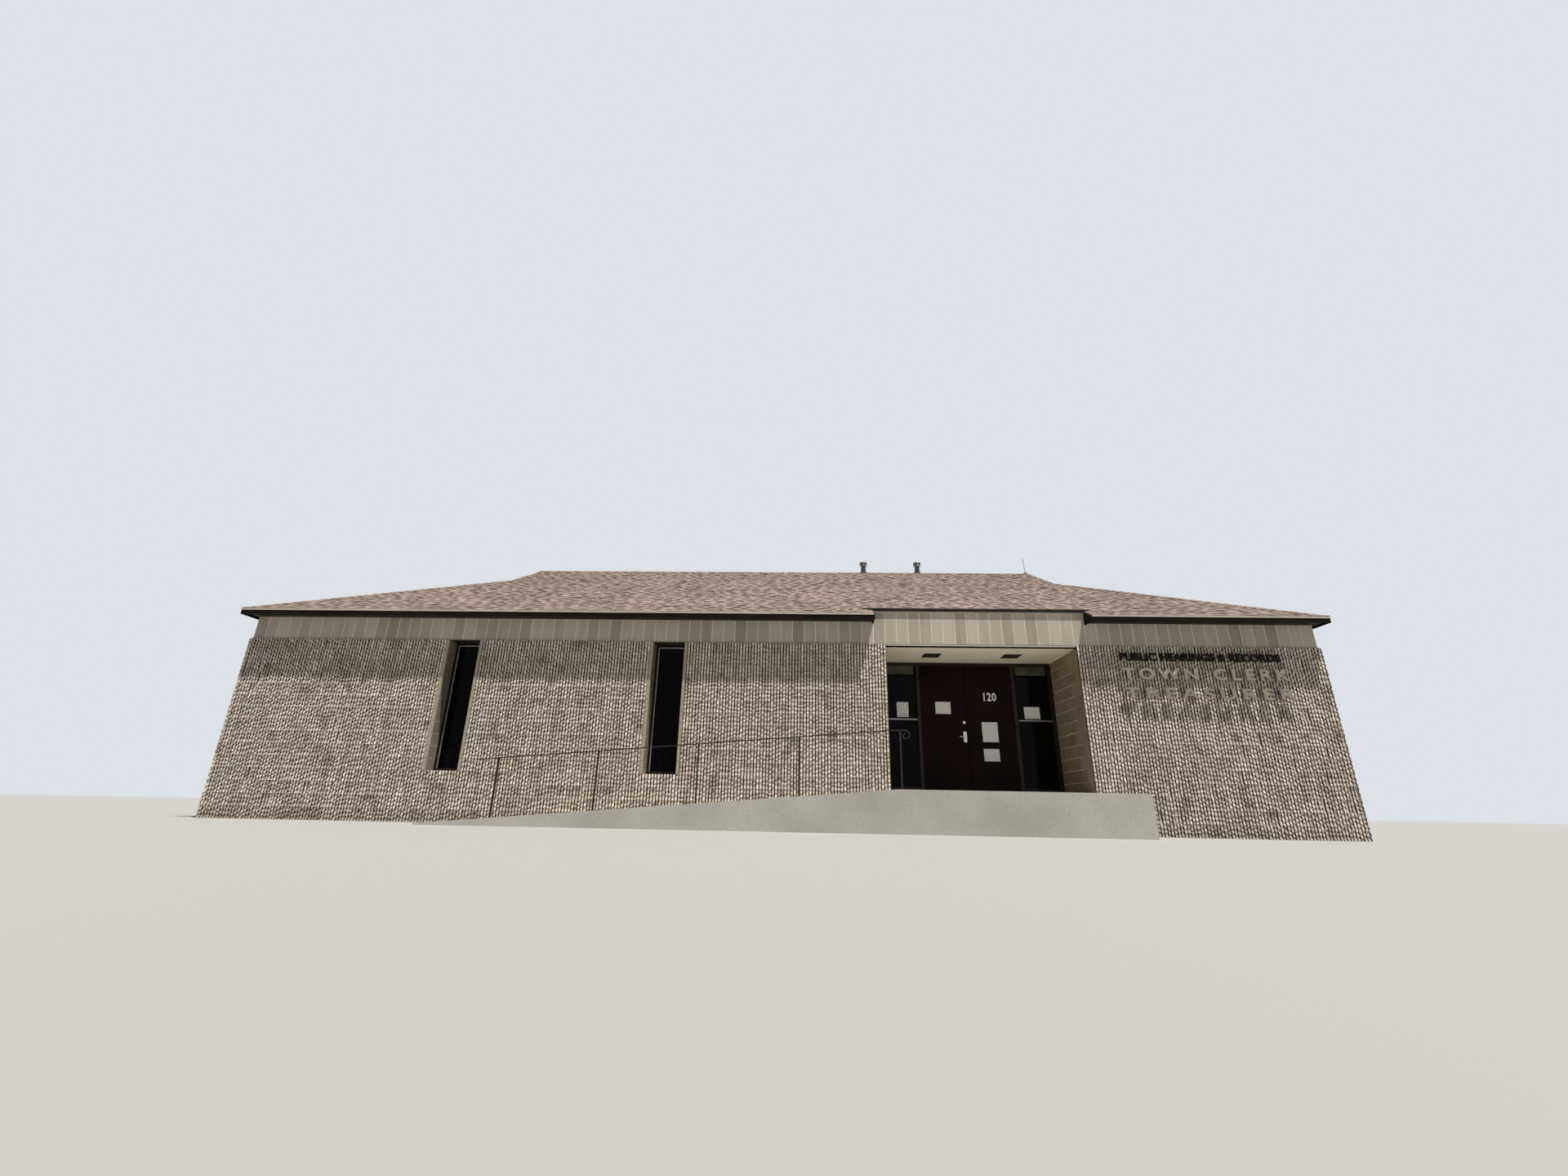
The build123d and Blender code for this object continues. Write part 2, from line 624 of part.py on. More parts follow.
def door_lock():
    """Lever on a rounded plate, and the deadbolt above it, near the left leaf's meeting edge."""
    x = RECESS_MIDDLE - MEETING_GAP / 2 - LOCK_BACKSET
    z = FLOOR_Z + LEVER_Z
    half_width = LOCK_PLATE_WIDTH / 2
    half_height = LOCK_PLATE_HEIGHT / 2
    plate_front = DOOR_FACE - LOCK_PLATE_THICKNESS
    plate = block(x - half_width, x + half_width, plate_front, DOOR_FACE, z - half_height, z + half_height)
    plate = fillet(plate.edges().filter_by(Axis.Y), half_width - LOCK_PLATE_FLAT / 2)
    stem = towards_front(x, plate_front, z, LEVER_RADIUS, LEVER_STAND_OFF)
    lever_y = plate_front - LEVER_STAND_OFF + LEVER_RADIUS
    handle = Plane((x + LEVER_RADIUS, lever_y, z), z_dir=(-1, 0, 0)) * Cylinder(
        LEVER_RADIUS, LEVER_LENGTH, align=STANDING
    )
    deadbolt = towards_front(x, DOOR_FACE, FLOOR_Z + DEADBOLT_Z, DEADBOLT_RADIUS, DEADBOLT_THICKNESS)
    save("door_lock", plate + stem + handle, deadbolt)


def flue_vents():
    """Two round flues astride the ridge, each with a collar and a wider cap."""
    collar_top = RIDGE_Z + VENT_COLLAR_HEIGHT
    pipe_top = RIDGE_Z + VENT_RISE
    base_z = RIDGE_Z - VENT_COLLAR_RADIUS
    vents = []
    for x in VENT_PLACES:
        collar = Pos(x, MIDDLE, base_z) * Cylinder(VENT_COLLAR_RADIUS, collar_top - base_z, align=STANDING)
        pipe = Pos(x, MIDDLE, collar_top) * Cylinder(VENT_RADIUS, pipe_top - collar_top, align=STANDING)
        cap = Pos(x, MIDDLE, pipe_top) * Cylinder(VENT_CAP_RADIUS, VENT_CAP_HEIGHT, align=STANDING)
        vents.append((collar - ROOF_TOP) + pipe + cap)
    save("flue_vents", *vents)


def roof_rod():
    """Thin leaning rod in a round foot at the ridge's right end."""
    x = GABLE_X - ROD_INSET
    base_z = RIDGE_Z - ROD_FOOT_RADIUS
    foot_top = RIDGE_Z + ROD_FOOT_HEIGHT
    foot = Pos(x, MIDDLE, base_z) * Cylinder(ROD_FOOT_RADIUS, foot_top - base_z, align=STANDING)
    rod = Pos(x, MIDDLE, RIDGE_Z) * Rot(0, -ROD_LEAN, 0) * Cylinder(ROD_RADIUS, ROD_HEIGHT, align=STANDING)
    save("roof_rod", (foot + rod) - ROOF_TOP)


def ramp_outline():
    """The ramp's (x, z) outline, with its top at one in RAMP_RATIO."""
    return [(RAMP_START, 0), (LANDING_START, 0), (LANDING_START, FLOOR_Z), (RAMP_START, RAMP_TOE)]


def ramp_and_landing():
    """Concrete ramp along the front and the landing that fills the recess."""
    outer = FACE - WALK_WIDTH
    inner = FACE - RIB_DEPTH - RAMP_JOINT
    save("access_ramp", front_to_back(ramp_outline(), outer, inner))
    landing = block(LANDING_START, RECESS_RIGHT + LANDING_MARGIN, outer, inner, 0, FLOOR_Z)
    save("entrance_landing", landing + block(RECESS_LEFT, RECESS_RIGHT, inner, SCREEN_BACK, 0, FLOOR_Z))


def handrail():
    """Black steel rail on square posts along the ramp, ending in a scroll over the landing."""
    last_post = LANDING_START + RAIL_END / 2
    start = last_post - RAIL_SPANS * RAIL_POST_SPACING - RAIL_TAIL
    end = LANDING_START + RAIL_END
    rail_z = FLOOR_Z + RAIL_HEIGHT
    path = Polyline((start, rail_z - (LANDING_START - start) / RAMP_RATIO), (LANDING_START, rail_z), (end, rail_z))
    outer_turn = CenterArc((end, rail_z - SCROLL_RADIUS), SCROLL_RADIUS, 90, -180)
    inner_z = rail_z - 2 * SCROLL_RADIUS + SCROLL_INNER_RADIUS
    inner_turn = CenterArc((end, inner_z), SCROLL_INNER_RADIUS, -90, -180)
    y = FACE - RAIL_LINE
    plane = Plane((0, y + RAIL_WIDTH / 2, 0), x_dir=(1, 0, 0), z_dir=(0, -1, 0))
    rail = extrude(plane * trace(path + outer_turn + inner_turn, RAIL_THICKNESS), RAIL_WIDTH)
    half = RAIL_POST / 2
    ground = front_to_back(ramp_outline(), FACE - WALK_WIDTH, FACE)
    for step in range(RAIL_SPANS + 1):
        x = last_post - step * RAIL_POST_SPACING
        top = rail_z - max(0, LANDING_START - x) / RAMP_RATIO
        foot = max(0, top - RAIL_HEIGHT - RAIL_POST)
        post = block(x - half, x + half, y - half, y + half, foot, top)
        if x > LANDING_START:
            post -= block(x - half, x + half, y - half, y + half, 0, FLOOR_Z)
        rail += post - ground
    save("ramp_handrail", rail)


os.makedirs("parts", exist_ok=True)
front_and_rear_walls()
side_walls()
entrance_walls()
floor_slab()
ceiling()
siding()
main_slopes()
hip_slopes()
gablets()
fascias()
soffits()
entrance_roof_edge()
windows()
entrance_soffit()
entrance_posts()
entrance_screen()
door_leaves()
door_lock()
flue_vents()
roof_rod()
ramp_and_landing()
handrail()
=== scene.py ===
import math
import random

import bmesh
import bpy
from mathutils import Matrix, Vector


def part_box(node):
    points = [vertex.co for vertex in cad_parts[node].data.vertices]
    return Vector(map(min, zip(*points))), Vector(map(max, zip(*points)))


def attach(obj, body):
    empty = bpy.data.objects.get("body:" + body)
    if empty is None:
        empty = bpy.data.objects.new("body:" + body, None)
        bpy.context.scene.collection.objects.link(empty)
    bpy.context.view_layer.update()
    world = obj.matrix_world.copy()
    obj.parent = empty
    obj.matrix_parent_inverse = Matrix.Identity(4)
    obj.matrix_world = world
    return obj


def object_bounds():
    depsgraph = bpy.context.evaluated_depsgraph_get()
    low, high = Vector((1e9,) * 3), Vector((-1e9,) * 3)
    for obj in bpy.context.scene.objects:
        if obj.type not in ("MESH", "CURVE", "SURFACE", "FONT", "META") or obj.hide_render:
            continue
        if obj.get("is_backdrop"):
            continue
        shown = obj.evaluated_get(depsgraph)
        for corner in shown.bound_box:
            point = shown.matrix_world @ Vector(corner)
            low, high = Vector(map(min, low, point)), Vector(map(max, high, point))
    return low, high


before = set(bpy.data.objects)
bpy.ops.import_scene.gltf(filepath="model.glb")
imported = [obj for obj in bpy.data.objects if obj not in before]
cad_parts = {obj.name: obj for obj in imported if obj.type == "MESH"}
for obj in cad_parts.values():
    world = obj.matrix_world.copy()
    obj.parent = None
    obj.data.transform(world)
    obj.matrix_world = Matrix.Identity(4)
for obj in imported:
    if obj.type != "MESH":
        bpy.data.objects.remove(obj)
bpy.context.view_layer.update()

# Ribbed block walls.
# Split-face concrete block, eight ribs to a block, laid in 15 courses with mortar bed joints.
# Each rib is cast, then broken off at the face, so its front is rough and its sides are straight.
COURSE = 0.2032
BLOCK = 0.4064
COURSES = 15
SILL_COURSE = 4
RIB_PITCH = BLOCK / 8
RIB_BASE = 0.034
RIB_DEPTH = 0.026
BED_JOINT = 0.005
SLOT_WIDTH = 4 / 3 * BLOCK
BARE_LEFT = 0.039
BARE_RIGHT = 0.054
KINDS = 24
CHIPPED_KINDS = 4
CHIP_STARTS = 0.02
CHIP_SPREADS = 0.5
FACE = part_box("front_wall_left")[0].y
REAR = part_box("rear_wall_left")[1].y
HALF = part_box("front_wall_right")[1].x
RECESS_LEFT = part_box("front_wall_left")[1].x
RECESS_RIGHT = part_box("front_wall_right")[0].x
DEPTH = REAR - FACE
UP = Vector((0, 0, 1))


def deselect():
    """Select nothing, so that the next operator acts on its own piece."""
    bpy.ops.object.select_all(action="DESELECT")


def bar(name, low, high):
    """A squared length of stuff between two corners, with its place in its mesh."""
    deselect()
    low = Vector(low)
    high = Vector(high)
    bpy.ops.mesh.primitive_cube_add(size=1, location=(low + high) / 2, scale=high - low)
    piece = bpy.context.object
    piece.name = name
    piece.data.name = name
    bpy.ops.object.transform_apply()
    return piece


def edit(piece):
    """Open a piece in edit mode with all of it selected."""
    deselect()
    piece.select_set(True)
    bpy.context.view_layer.objects.active = piece
    bpy.ops.object.mode_set(mode="EDIT")
    bpy.ops.mesh.select_all(action="SELECT")


def done():
    """Back to object mode."""
    bpy.ops.object.mode_set(mode="OBJECT")


def choose(piece, kind, test):
    """Select the vertices, edges or faces of the piece in edit mode that pass a test."""
    bpy.ops.mesh.select_mode(type=kind)
    bpy.ops.mesh.select_all(action="DESELECT")
    shape = bmesh.from_edit_mesh(piece.data)
    for element in {"VERT": shape.verts, "EDGE": shape.edges, "FACE": shape.faces}[kind]:
        element.select_set(bool(test(element)))
    shape.select_flush_mode()
    bmesh.update_edit_mesh(piece.data)


def nudge(piece, test, shift):
    """Move the vertices of the piece in edit mode that pass a test."""
    choose(piece, "VERT", test)
    bpy.ops.transform.translate(value=shift)


def slice_at(axis, places):
    """Cut an edge loop round the piece in edit mode at each place along an axis."""
    for place in places:
        bpy.ops.mesh.select_all(action="SELECT")
        bpy.ops.mesh.bisect(plane_co=axis * place, plane_no=axis)


def take_pattern(piece):
    """Keep a finished small shape as a mesh to be copied, and take its object away."""
    mesh = piece.data
    bpy.data.objects.remove(piece)
    return mesh


def toned(mesh, tones):
    """Give each face of a mesh the tone that its material reads."""
    mesh.attributes.new("tone", "FLOAT", "FACE").data.foreach_set("value", tones)
    return mesh


def fix(piece, material, body="building"):
    """A finished piece goes on its body."""
    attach(piece, body)
    piece.data.materials.append(material)
    return piece


def lay(name, patterns, places, material, body="building"):
    """One piece made of many copies. places holds each one's pattern, matrix and tone."""
    points = []
    faces = []
    tones = []
    for pick, place, tone in places:
        pattern = patterns[pick]
        first = len(points)
        points.extend(place @ vertex.co for vertex in pattern.vertices)
        faces.extend([first + corner for corner in face.vertices] for face in pattern.polygons)
        shades = pattern.attributes.get("tone")
        if shades:
            tones.extend(tone + shade.value for shade in shades.data)
        else:
            tones.extend([tone] * len(pattern.polygons))
    mesh = bpy.data.meshes.new(name)
    mesh.from_pydata(points, [], faces)
    piece = bpy.data.objects.new(name, toned(mesh, tones))
    bpy.context.scene.collection.objects.link(piece)
    return fix(piece, material, body)


def feed(tree, socket, value):
    """Link a source into a socket, or set the socket to a number, a vector or a colour."""
    if isinstance(value, bpy.types.NodeSocket):
        tree.links.new(value, socket)
    else:
        socket.default_value = (*value, 1) if socket.type == "RGBA" else value


def new_material(name, **inputs):
    """A material with one Principled shader and its plain inputs."""
    material = bpy.data.materials.new(name)
    material.use_nodes = True
    tree = material.node_tree
    shader = tree.nodes["Principled BSDF"]
    for label, value in inputs.items():
        feed(tree, shader.inputs[label.replace("_", " ")], value)
    return material, tree, shader


def add(tree, kind, **values):
    """A node with its settings and its inputs."""
    node = tree.nodes.new(kind)
    for key, value in values.items():
        socket = node.inputs.get(key.replace("_", " "))
        if socket is None:
            setattr(node, key, value)
        else:
            feed(tree, socket, value)
    return node


def noise(tree, **inputs):
    """A cloudy noise, from 0 to 1."""
    return add(tree, "ShaderNodeTexNoise", **inputs).outputs["Fac"]


def calc(tree, operation, *values):
    """One sum done on sockets or numbers."""
    node = add(tree, "ShaderNodeMath", operation=operation)
    for socket, value in zip(node.inputs, values):
        feed(tree, socket, value)
    return node.outputs[0]


def mixed(tree, factor, first, second):
    """Two colours mixed, each a socket or a plain colour, by a socket or a number."""
    node = add(tree, "ShaderNodeMix", data_type="RGBA")
    for index, value in ((0, factor), (6, first), (7, second)):
        feed(tree, node.inputs[index], value)
    return node.outputs[2]


def ranged(tree, value, low, high, start=0.0, end=1.0):
    """A value stretched from one range to another and held inside it."""
    ends = {"From_Min": low, "From_Max": high, "To_Min": start, "To_Max": end}
    return add(tree, "ShaderNodeMapRange", Value=value, **ends).outputs[0]


def over(tree, body, tint, amount, mask, low=0.0, high=1.0):
    """A tint laid over a colour, from not at all to amount as a mask goes from low to high."""
    return mixed(tree, ranged(tree, mask, low, high, 0.0, amount), body, tint)


def colour(tree, shader, source):
    """Link a colour into the shader."""
    tree.links.new(source, shader.inputs["Base Color"])


def bumped(tree, shader, height, strength, distance):
    """Relief from a height, in the shader's normal."""
    bump = add(tree, "ShaderNodeBump", Height=height, Strength=strength, Distance=distance)
    tree.links.new(bump.outputs[0], shader.inputs["Normal"])


def here(tree):
    """Where a point is on the object, as a vector and as its X, Y and Z."""
    spot = add(tree, "ShaderNodeTexCoord").outputs["Object"]
    return spot, add(tree, "ShaderNodeSeparateXYZ", Vector=spot).outputs


def drawn_out(tree, spot, factors):
    """A place multiplied along each axis: a small factor draws the pattern out."""
    node = add(tree, "ShaderNodeVectorMath", operation="MULTIPLY", Vector=spot)
    node.inputs[1].default_value = factors
    return node.outputs[0]


def tone_of(tree):
    """The tone that each laid copy carries."""
    return add(tree, "ShaderNodeAttribute", attribute_name="tone").outputs["Fac"]


def to_joint(tree, height):
    """How far a height is from the nearest bed joint, in courses."""
    return calc(tree, "PINGPONG", calc(tree, "DIVIDE", height, COURSE), 0.5)


def effect(name, inputs, outputs):
    """An empty shader node group with named inputs and outputs, for materials to share."""
    group = bpy.data.node_groups.new(name, "ShaderNodeTree")
    for label, value in inputs.items():
        socket = group.interface.new_socket(label, in_out="INPUT", socket_type="NodeSocketFloat")
        socket.default_value = value
    for label in outputs:
        group.interface.new_socket(label, in_out="OUTPUT", socket_type="NodeSocketFloat")
    return group, group.nodes.new("NodeGroupInput"), group.nodes.new("NodeGroupOutput")


def use(tree, group, **values):
    """One of the shared effects placed in a material with its own values."""
    return add(tree, "ShaderNodeGroup", node_tree=group, **values).outputs


# Mottle: a cloudy patchiness in the stuff itself, with a finer one inside it.
mottle, given, made = effect("mottle", {"Scale": 4.0, "Fine Scale": 30.0}, ["Cloud", "Fine"])
spot = here(mottle)[0]
cloud = noise(mottle, Vector=spot, Scale=given.outputs["Scale"], Detail=3.0)
grain = noise(mottle, Vector=spot, Scale=given.outputs["Fine Scale"], Detail=4.0)
feed(mottle, made.inputs["Cloud"], ranged(mottle, cloud, 0.32, 0.68))
feed(mottle, made.inputs["Fine"], ranged(mottle, grain, 0.32, 0.68))

# Grime: soft streaks that run down from above, and splash that rises a little from the ground.
grime, given, made = effect("grime", {"Width": 6.0, "Splash": 0.5}, ["Streak", "Ground"])
spot, axes = here(grime)
drawn = drawn_out(grime, spot, (1, 1, 0.12))
streak = noise(grime, Vector=drawn, Scale=given.outputs["Width"], Detail=4.0)
feed(grime, made.inputs["Streak"], ranged(grime, streak, 0.5, 0.75))
ragged = noise(grime, Vector=spot, Scale=3.0, Detail=3.0)
height = calc(grime, "DIVIDE", axes["Z"], calc(grime, "MULTIPLY", ragged, given.outputs["Splash"]))
feed(grime, made.inputs["Ground"], ranged(grime, height, 0.0, 1.6, 1.0, 0.0))

# Broken faces: cream and tan with brown stones in them, rib by rib. Their straight sides are darker unsplit
# concrete, painted darker still as painted shade between the ribs.
# Mortar leaves a pale haze on the ends of the ribs at each joint.
split_stone, tree, shader = new_material("split_stone", Roughness=0.92)
spot, axes = here(tree)
patch = use(tree, mottle, Scale=2.2, Fine_Scale=55.0)
dirt = use(tree, grime, Width=5.0, Splash=0.35)
tone = tone_of(tree)
grit = noise(tree, Vector=spot, Scale=30.0, Detail=4.0, Roughness=0.6)
brown = noise(tree, Vector=spot, Scale=4.0, Detail=5.0)
body = mixed(tree, tone, (0.60, 0.52, 0.435), (0.94, 0.86, 0.755))
body = over(tree, body, (0.22, 0.16, 0.115), 0.6, brown, 0.56, 0.70)
body = over(tree, body, (0.19, 0.14, 0.10), 0.5, grit, 0.55, 0.66)
body = over(tree, body, (0.32, 0.25, 0.19), 0.3, patch["Cloud"])
body = over(tree, body, (0.16, 0.13, 0.10), 0.45, dirt["Ground"])
haze = ranged(tree, to_joint(tree, axes["Z"]), 0.02, 0.05, 0.5, 0.0)
body = mixed(tree, haze, body, (0.86, 0.80, 0.70))
# Painted shade: the straight sides of the ribs go near black, darker than their own unsplit face, as the
# shade between the ribs.
body = mixed(tree, ranged(tree, tone, -0.02, 0.0, 1.0, 0.0), body, (0.10, 0.076, 0.058))
colour(tree, shader, body)
bumped(tree, shader, grit, 0.8, 0.012)


def split_rib(seed, lump, out=-0.005, back=0.014):
    """One course of one rib, broken into lumps that each lean out from a deep top to a proud lip."""
    dice = random.Random(seed)
    low = BED_JOINT / 2
    high = COURSE - BED_JOINT / 2
    rib = bar("rib", (-RIB_BASE / 2, -RIB_DEPTH, low), (RIB_BASE / 2, 0, high))
    edit(rib)
    reach = dice.random()
    profile = [(high, back + (out - back) * reach)]
    lip = high - lump * (1 - reach) - 0.010
    underside = 0.018
    while lip > low + underside + 0.016:
        profile.append((lip, out + 0.004 * dice.random()))
        profile.append((lip - underside - 0.012 * dice.random(), back - 0.004 * dice.random()))
        lip -= lump * (0.8 + 0.4 * dice.random())
    reach = 1 - (low - lip) / lump
    profile.append((low, back + (out - back) * min(1, max(0, reach))))
    slice_at(UP, [level for level, depth in profile[1:-1]])
    choose(rib, "FACE", lambda face: face.normal.y > 0.9)
    bpy.ops.mesh.dissolve_faces()
    for level, depth in profile:
        for side in (-1, 1):
            nudge(
                rib,
                lambda v: v.co.y < -0.01 and v.co.x * side > 0 and abs(v.co.z - level) < 0.001,
                (-side * 0.003 * dice.random(), depth + 0.006 * (dice.random() - 0.5), 0),
            )
    done()
    mesh = take_pattern(rib)
    # Side faces carry a tone of -1, which the stone material reads to paint shade on them.
    return toned(mesh, [-1.0 if abs(face.normal.x) > 0.7 else 0.0 for face in mesh.polygons])


def moved(x, y, z):
    """A shift, as a matrix."""
    return Matrix.Translation((x, y, z))


def turned(x, y, angle, z=0):
    """The frame of a wall face: x along it to the right as seen from outside, y inwards."""
    return moved(x, y, z) @ Matrix.Rotation(math.radians(angle), 4, "Z")


def around(inset=0):
    """The four sides of the building, set in from the blocks: left end, way it faces and length."""
    right = HALF - inset
    front = FACE + inset
    rear = REAR - inset
    return (
        (-right, front, 0, 2 * right),
        (right, front, 90, rear - front),
        (right, rear, 180, 2 * right),
        (-right, rear, 270, rear - front),
    )


def from_other_end(slots, length):
    """Where slots start when a wall of some length is seen from its other side."""
    return [length - slot - SLOT_WIDTH for slot in slots]


FRONT_SLOTS = [start * BLOCK for start in (9, 18)]
SIDE_SLOTS = [start * BLOCK for start in (6 + 2 / 3, 14)]
REAR_SLOTS = [start * BLOCK for start in (8, 18, 26 + 2 / 3, 36 + 2 / 3)]
WALLS = {
    "ribs_front_left": (turned(-HALF, FACE, 0), RECESS_LEFT + HALF, FRONT_SLOTS),
    "ribs_front_right": (turned(RECESS_RIGHT, FACE, 0), HALF - RECESS_RIGHT, []),
    "ribs_right": (turned(HALF, FACE, 90), DEPTH, SIDE_SLOTS),
    "ribs_rear_right": (turned(HALF, REAR, 180), HALF, from_other_end(REAR_SLOTS[2:], 2 * HALF)),
    "ribs_rear_left": (turned(0, REAR, 180), HALF, from_other_end(REAR_SLOTS[:2], HALF)),
    "ribs_left": (turned(-HALF, REAR, 270), DEPTH, from_other_end(SIDE_SLOTS, DEPTH)),
}
rng = random.Random(11)
ribs = [split_rib(seed, 0.060 + 0.0012 * seed) for seed in range(KINDS)]
chipped_ribs = [split_rib(30 + seed, 0.08, out=0.010, back=0.019) for seed in range(CHIPPED_KINDS)]
pads = []
joints = []
for name, (wall, length, slots) in WALLS.items():
    places = []
    chipped = set()
    for count in range(round(length / RIB_PITCH)):
        low = count * RIB_PITCH
        bare = [s for s in slots if s - BARE_LEFT - RIB_PITCH < low < s + SLOT_WIDTH + BARE_RIGHT]
        odds = [CHIP_SPREADS if course in chipped else CHIP_STARTS for course in range(COURSES)]
        chipped = {course for course, chance in enumerate(odds) if rng.random() < chance}
        for course in range(SILL_COURSE if bare else COURSES):
            place = wall @ moved(low + RIB_PITCH / 2, 0, course * COURSE)
            if course in chipped:
                pick = KINDS + rng.randrange(CHIPPED_KINDS)
            else:
                pick = rng.randrange(KINDS)
            places.append((pick, place, rng.random()))
    lay(name, ribs + chipped_ribs, places, split_stone)
    for slot in slots:
        last_rib = math.floor((slot - BARE_LEFT) / RIB_PITCH) * RIB_PITCH - 0.002
        next_rib = math.ceil((slot + SLOT_WIDTH + 0.004) / RIB_PITCH) * RIB_PITCH
        for course in range(SILL_COURSE, COURSES):
            pads.append((wall, last_rib, slot, course))
            pads.append((wall, next_rib - 0.003, next_rib + RIB_PITCH - 0.006, course))
    for course in range(1, COURSES):
        edges = [0]
        if course >= SILL_COURSE:
            for slot in sorted(slots):
                edges += [slot, slot + SLOT_WIDTH]
        edges.append(length)
        for start, end in zip(edges[0::2], edges[1::2]):
            joints.append((wall, start, end, course))
corners = []
for x, y, angle, length in around():
    for course in range(COURSES):
        shift = moved(-RIB_BASE / 2 + 0.009, 0.003, course * COURSE)
        corners.append((rng.randrange(KINDS), turned(x, y, angle) @ shift, rng.random()))
lay("corner_ribs", ribs, corners, split_stone)

# Mortar bed joints between the courses.
# Pale grey, sandy mortar, raked well back from the ribs while it was fresh.


def clouded(name, scale, first, second, fine=30.0, **inputs):
    """A material that drifts between two colours, and what it takes to add more to it."""
    material, tree, shader = new_material(name, **inputs)
    patch = use(tree, mottle, Scale=scale, Fine_Scale=fine)
    body = mixed(tree, patch["Cloud"], first, second)
    colour(tree, shader, body)
    return material, tree, shader, patch, body


def framed(piece, border, shift):
    """Set a border into the front of a piece and move what lies inside it."""
    edit(piece)
    choose(piece, "FACE", lambda face: face.normal.y < -0.9)
    bpy.ops.mesh.inset(thickness=border)
    bpy.ops.transform.translate(value=(0, shift, 0))
    done()
    return piece


def stretched(wall, start, end, course):
    """The place of a pattern one metre long that fills a wall from start to end on a course."""
    return wall @ moved(start, 0, course * COURSE) @ Matrix.Diagonal((end - start, 1, 1, 1))


mortar, tree, shader, patch, body = clouded(
    "mortar", 1.5, (0.36, 0.32, 0.27), (0.52, 0.47, 0.40), fine=90.0, Roughness=0.95
)
colour(tree, shader, over(tree, body, (0.28, 0.24, 0.19), 0.4, patch["Fine"], 0.5))
bumped(tree, shader, patch["Fine"], 0.5, 0.003)
joint = bar("joint", (0, -0.012, -BED_JOINT / 2 - 0.0005), (1, 0, BED_JOINT / 2 + 0.0005))
joint = take_pattern(framed(joint, 0.002, 0.002))
lay("bed_joints", [joint], [(0, stretched(*run), rng.random()) for run in joints], mortar)

# Plain ends of the blocks beside each opening, and the plain returns of the entrance recess.
# Unsplit concrete in running bond, flush with the ribs, each block with its own slight tone.
plain_block, tree, shader = new_material("plain_block", Roughness=0.9)
patch = use(tree, mottle, Scale=3.0, Fine_Scale=60.0)
tone = tone_of(tree)
body = mixed(tree, tone, (0.23, 0.165, 0.10), (0.33, 0.25, 0.165))
body = over(tree, body, (0.13, 0.09, 0.06), 0.55, patch["Fine"], 0.35)
body = over(tree, body, (0.37, 0.31, 0.23), 0.35, patch["Cloud"], 0.3)
body = over(tree, body, (0.44, 0.385, 0.29), 1.0, tone, 1.1, 1.2)
body = over(tree, body, (0.16, 0.12, 0.08), 0.45, patch["Fine"], 0.5)
colour(tree, shader, body)
bumped(tree, shader, patch["Fine"], 0.5, 0.004)
pad = bar("pad", (0, -RIB_DEPTH - 0.001, BED_JOINT / 2), (1, 0, COURSE - BED_JOINT / 2))
edit(pad)
slice_at(UP, [COURSE / 3, 2 * COURSE / 3])
choose(pad, "VERT", lambda vertex: vertex.co.y < -RIB_DEPTH / 2)
bpy.ops.transform.vertex_random(offset=0.0015, uniform=0, normal=1, seed=4)
done()
pad = take_pattern(pad)
PALE = 1.2
places = [(0, stretched(*run), PALE + rng.random()) for run in pads]
lay("plain_block_ends", [pad], places, plain_block)
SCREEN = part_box("entrance_posts")[0].y
HALF_JOINT = 0.0065
TOP_COURSE = 0.77
FLOOR_COURSE = 3
faces = []
for length in (BLOCK, BLOCK / 2):
    high = (length - HALF_JOINT, 0, COURSE - HALF_JOINT)
    block = bar("return_block", (HALF_JOINT, -0.003, HALF_JOINT), high)
    faces.append(take_pattern(framed(block, 0.002, -0.001)))
places = []
for x, angle, start in ((RECESS_LEFT, 90, FACE), (RECESS_RIGHT, -90, SCREEN)):
    for course in range(FLOOR_COURSE, COURSES):
        lift = moved(0, 0, course * COURSE)
        if course == COURSES - 1:
            lift = lift @ Matrix.Diagonal((1, 1, TOP_COURSE, 1))
        at = 0
        for pick in (0, 0, 0) if course % 2 else (1, 0, 0, 1):
            wall = turned(x, start, angle)
            places.append((pick, wall @ lift @ moved(at - 0.002, 0, 0), rng.random()))
            at += (BLOCK, BLOCK / 2)[pick]
lay("entrance_return_blocks", faces, places, plain_block)

# The blocks' own faces, seen between the ribs, in the joints and in the reveals of the slots.
# The same concrete, unbroken: painted near black between the ribs as the shade in the deep gaps, plain
# brown-grey in the reveals.


def dress(material, *nodes):
    """Give CAD nodes a material on their own slots."""
    for node in nodes:
        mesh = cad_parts[node].data
        for index in range(len(mesh.materials)):
            mesh.materials[index] = material


block_core, tree, shader, patch, body = clouded(
    "block_core", 1.8, (0.16, 0.14, 0.11), (0.235, 0.205, 0.165), fine=70.0, Roughness=0.9
)
axes = here(tree)[1]
past_x = ranged(tree, calc(tree, "ABSOLUTE", axes["X"]), HALF - 0.002, HALF - 0.001)
out_y = calc(tree, "ABSOLUTE", calc(tree, "SUBTRACT", axes["Y"], (FACE + REAR) / 2))
past_y = ranged(tree, out_y, DEPTH / 2 - 0.002, DEPTH / 2 - 0.001)
outside = calc(tree, "MAXIMUM", past_x, past_y)
joint = ranged(tree, to_joint(tree, axes["Z"]), 0.022, 0.030, 1.0, 0.0)
body = over(tree, body, (0.14, 0.105, 0.075), 0.5, patch["Fine"], 0.4)
body = mixed(tree, joint, body, (0.36, 0.32, 0.26))
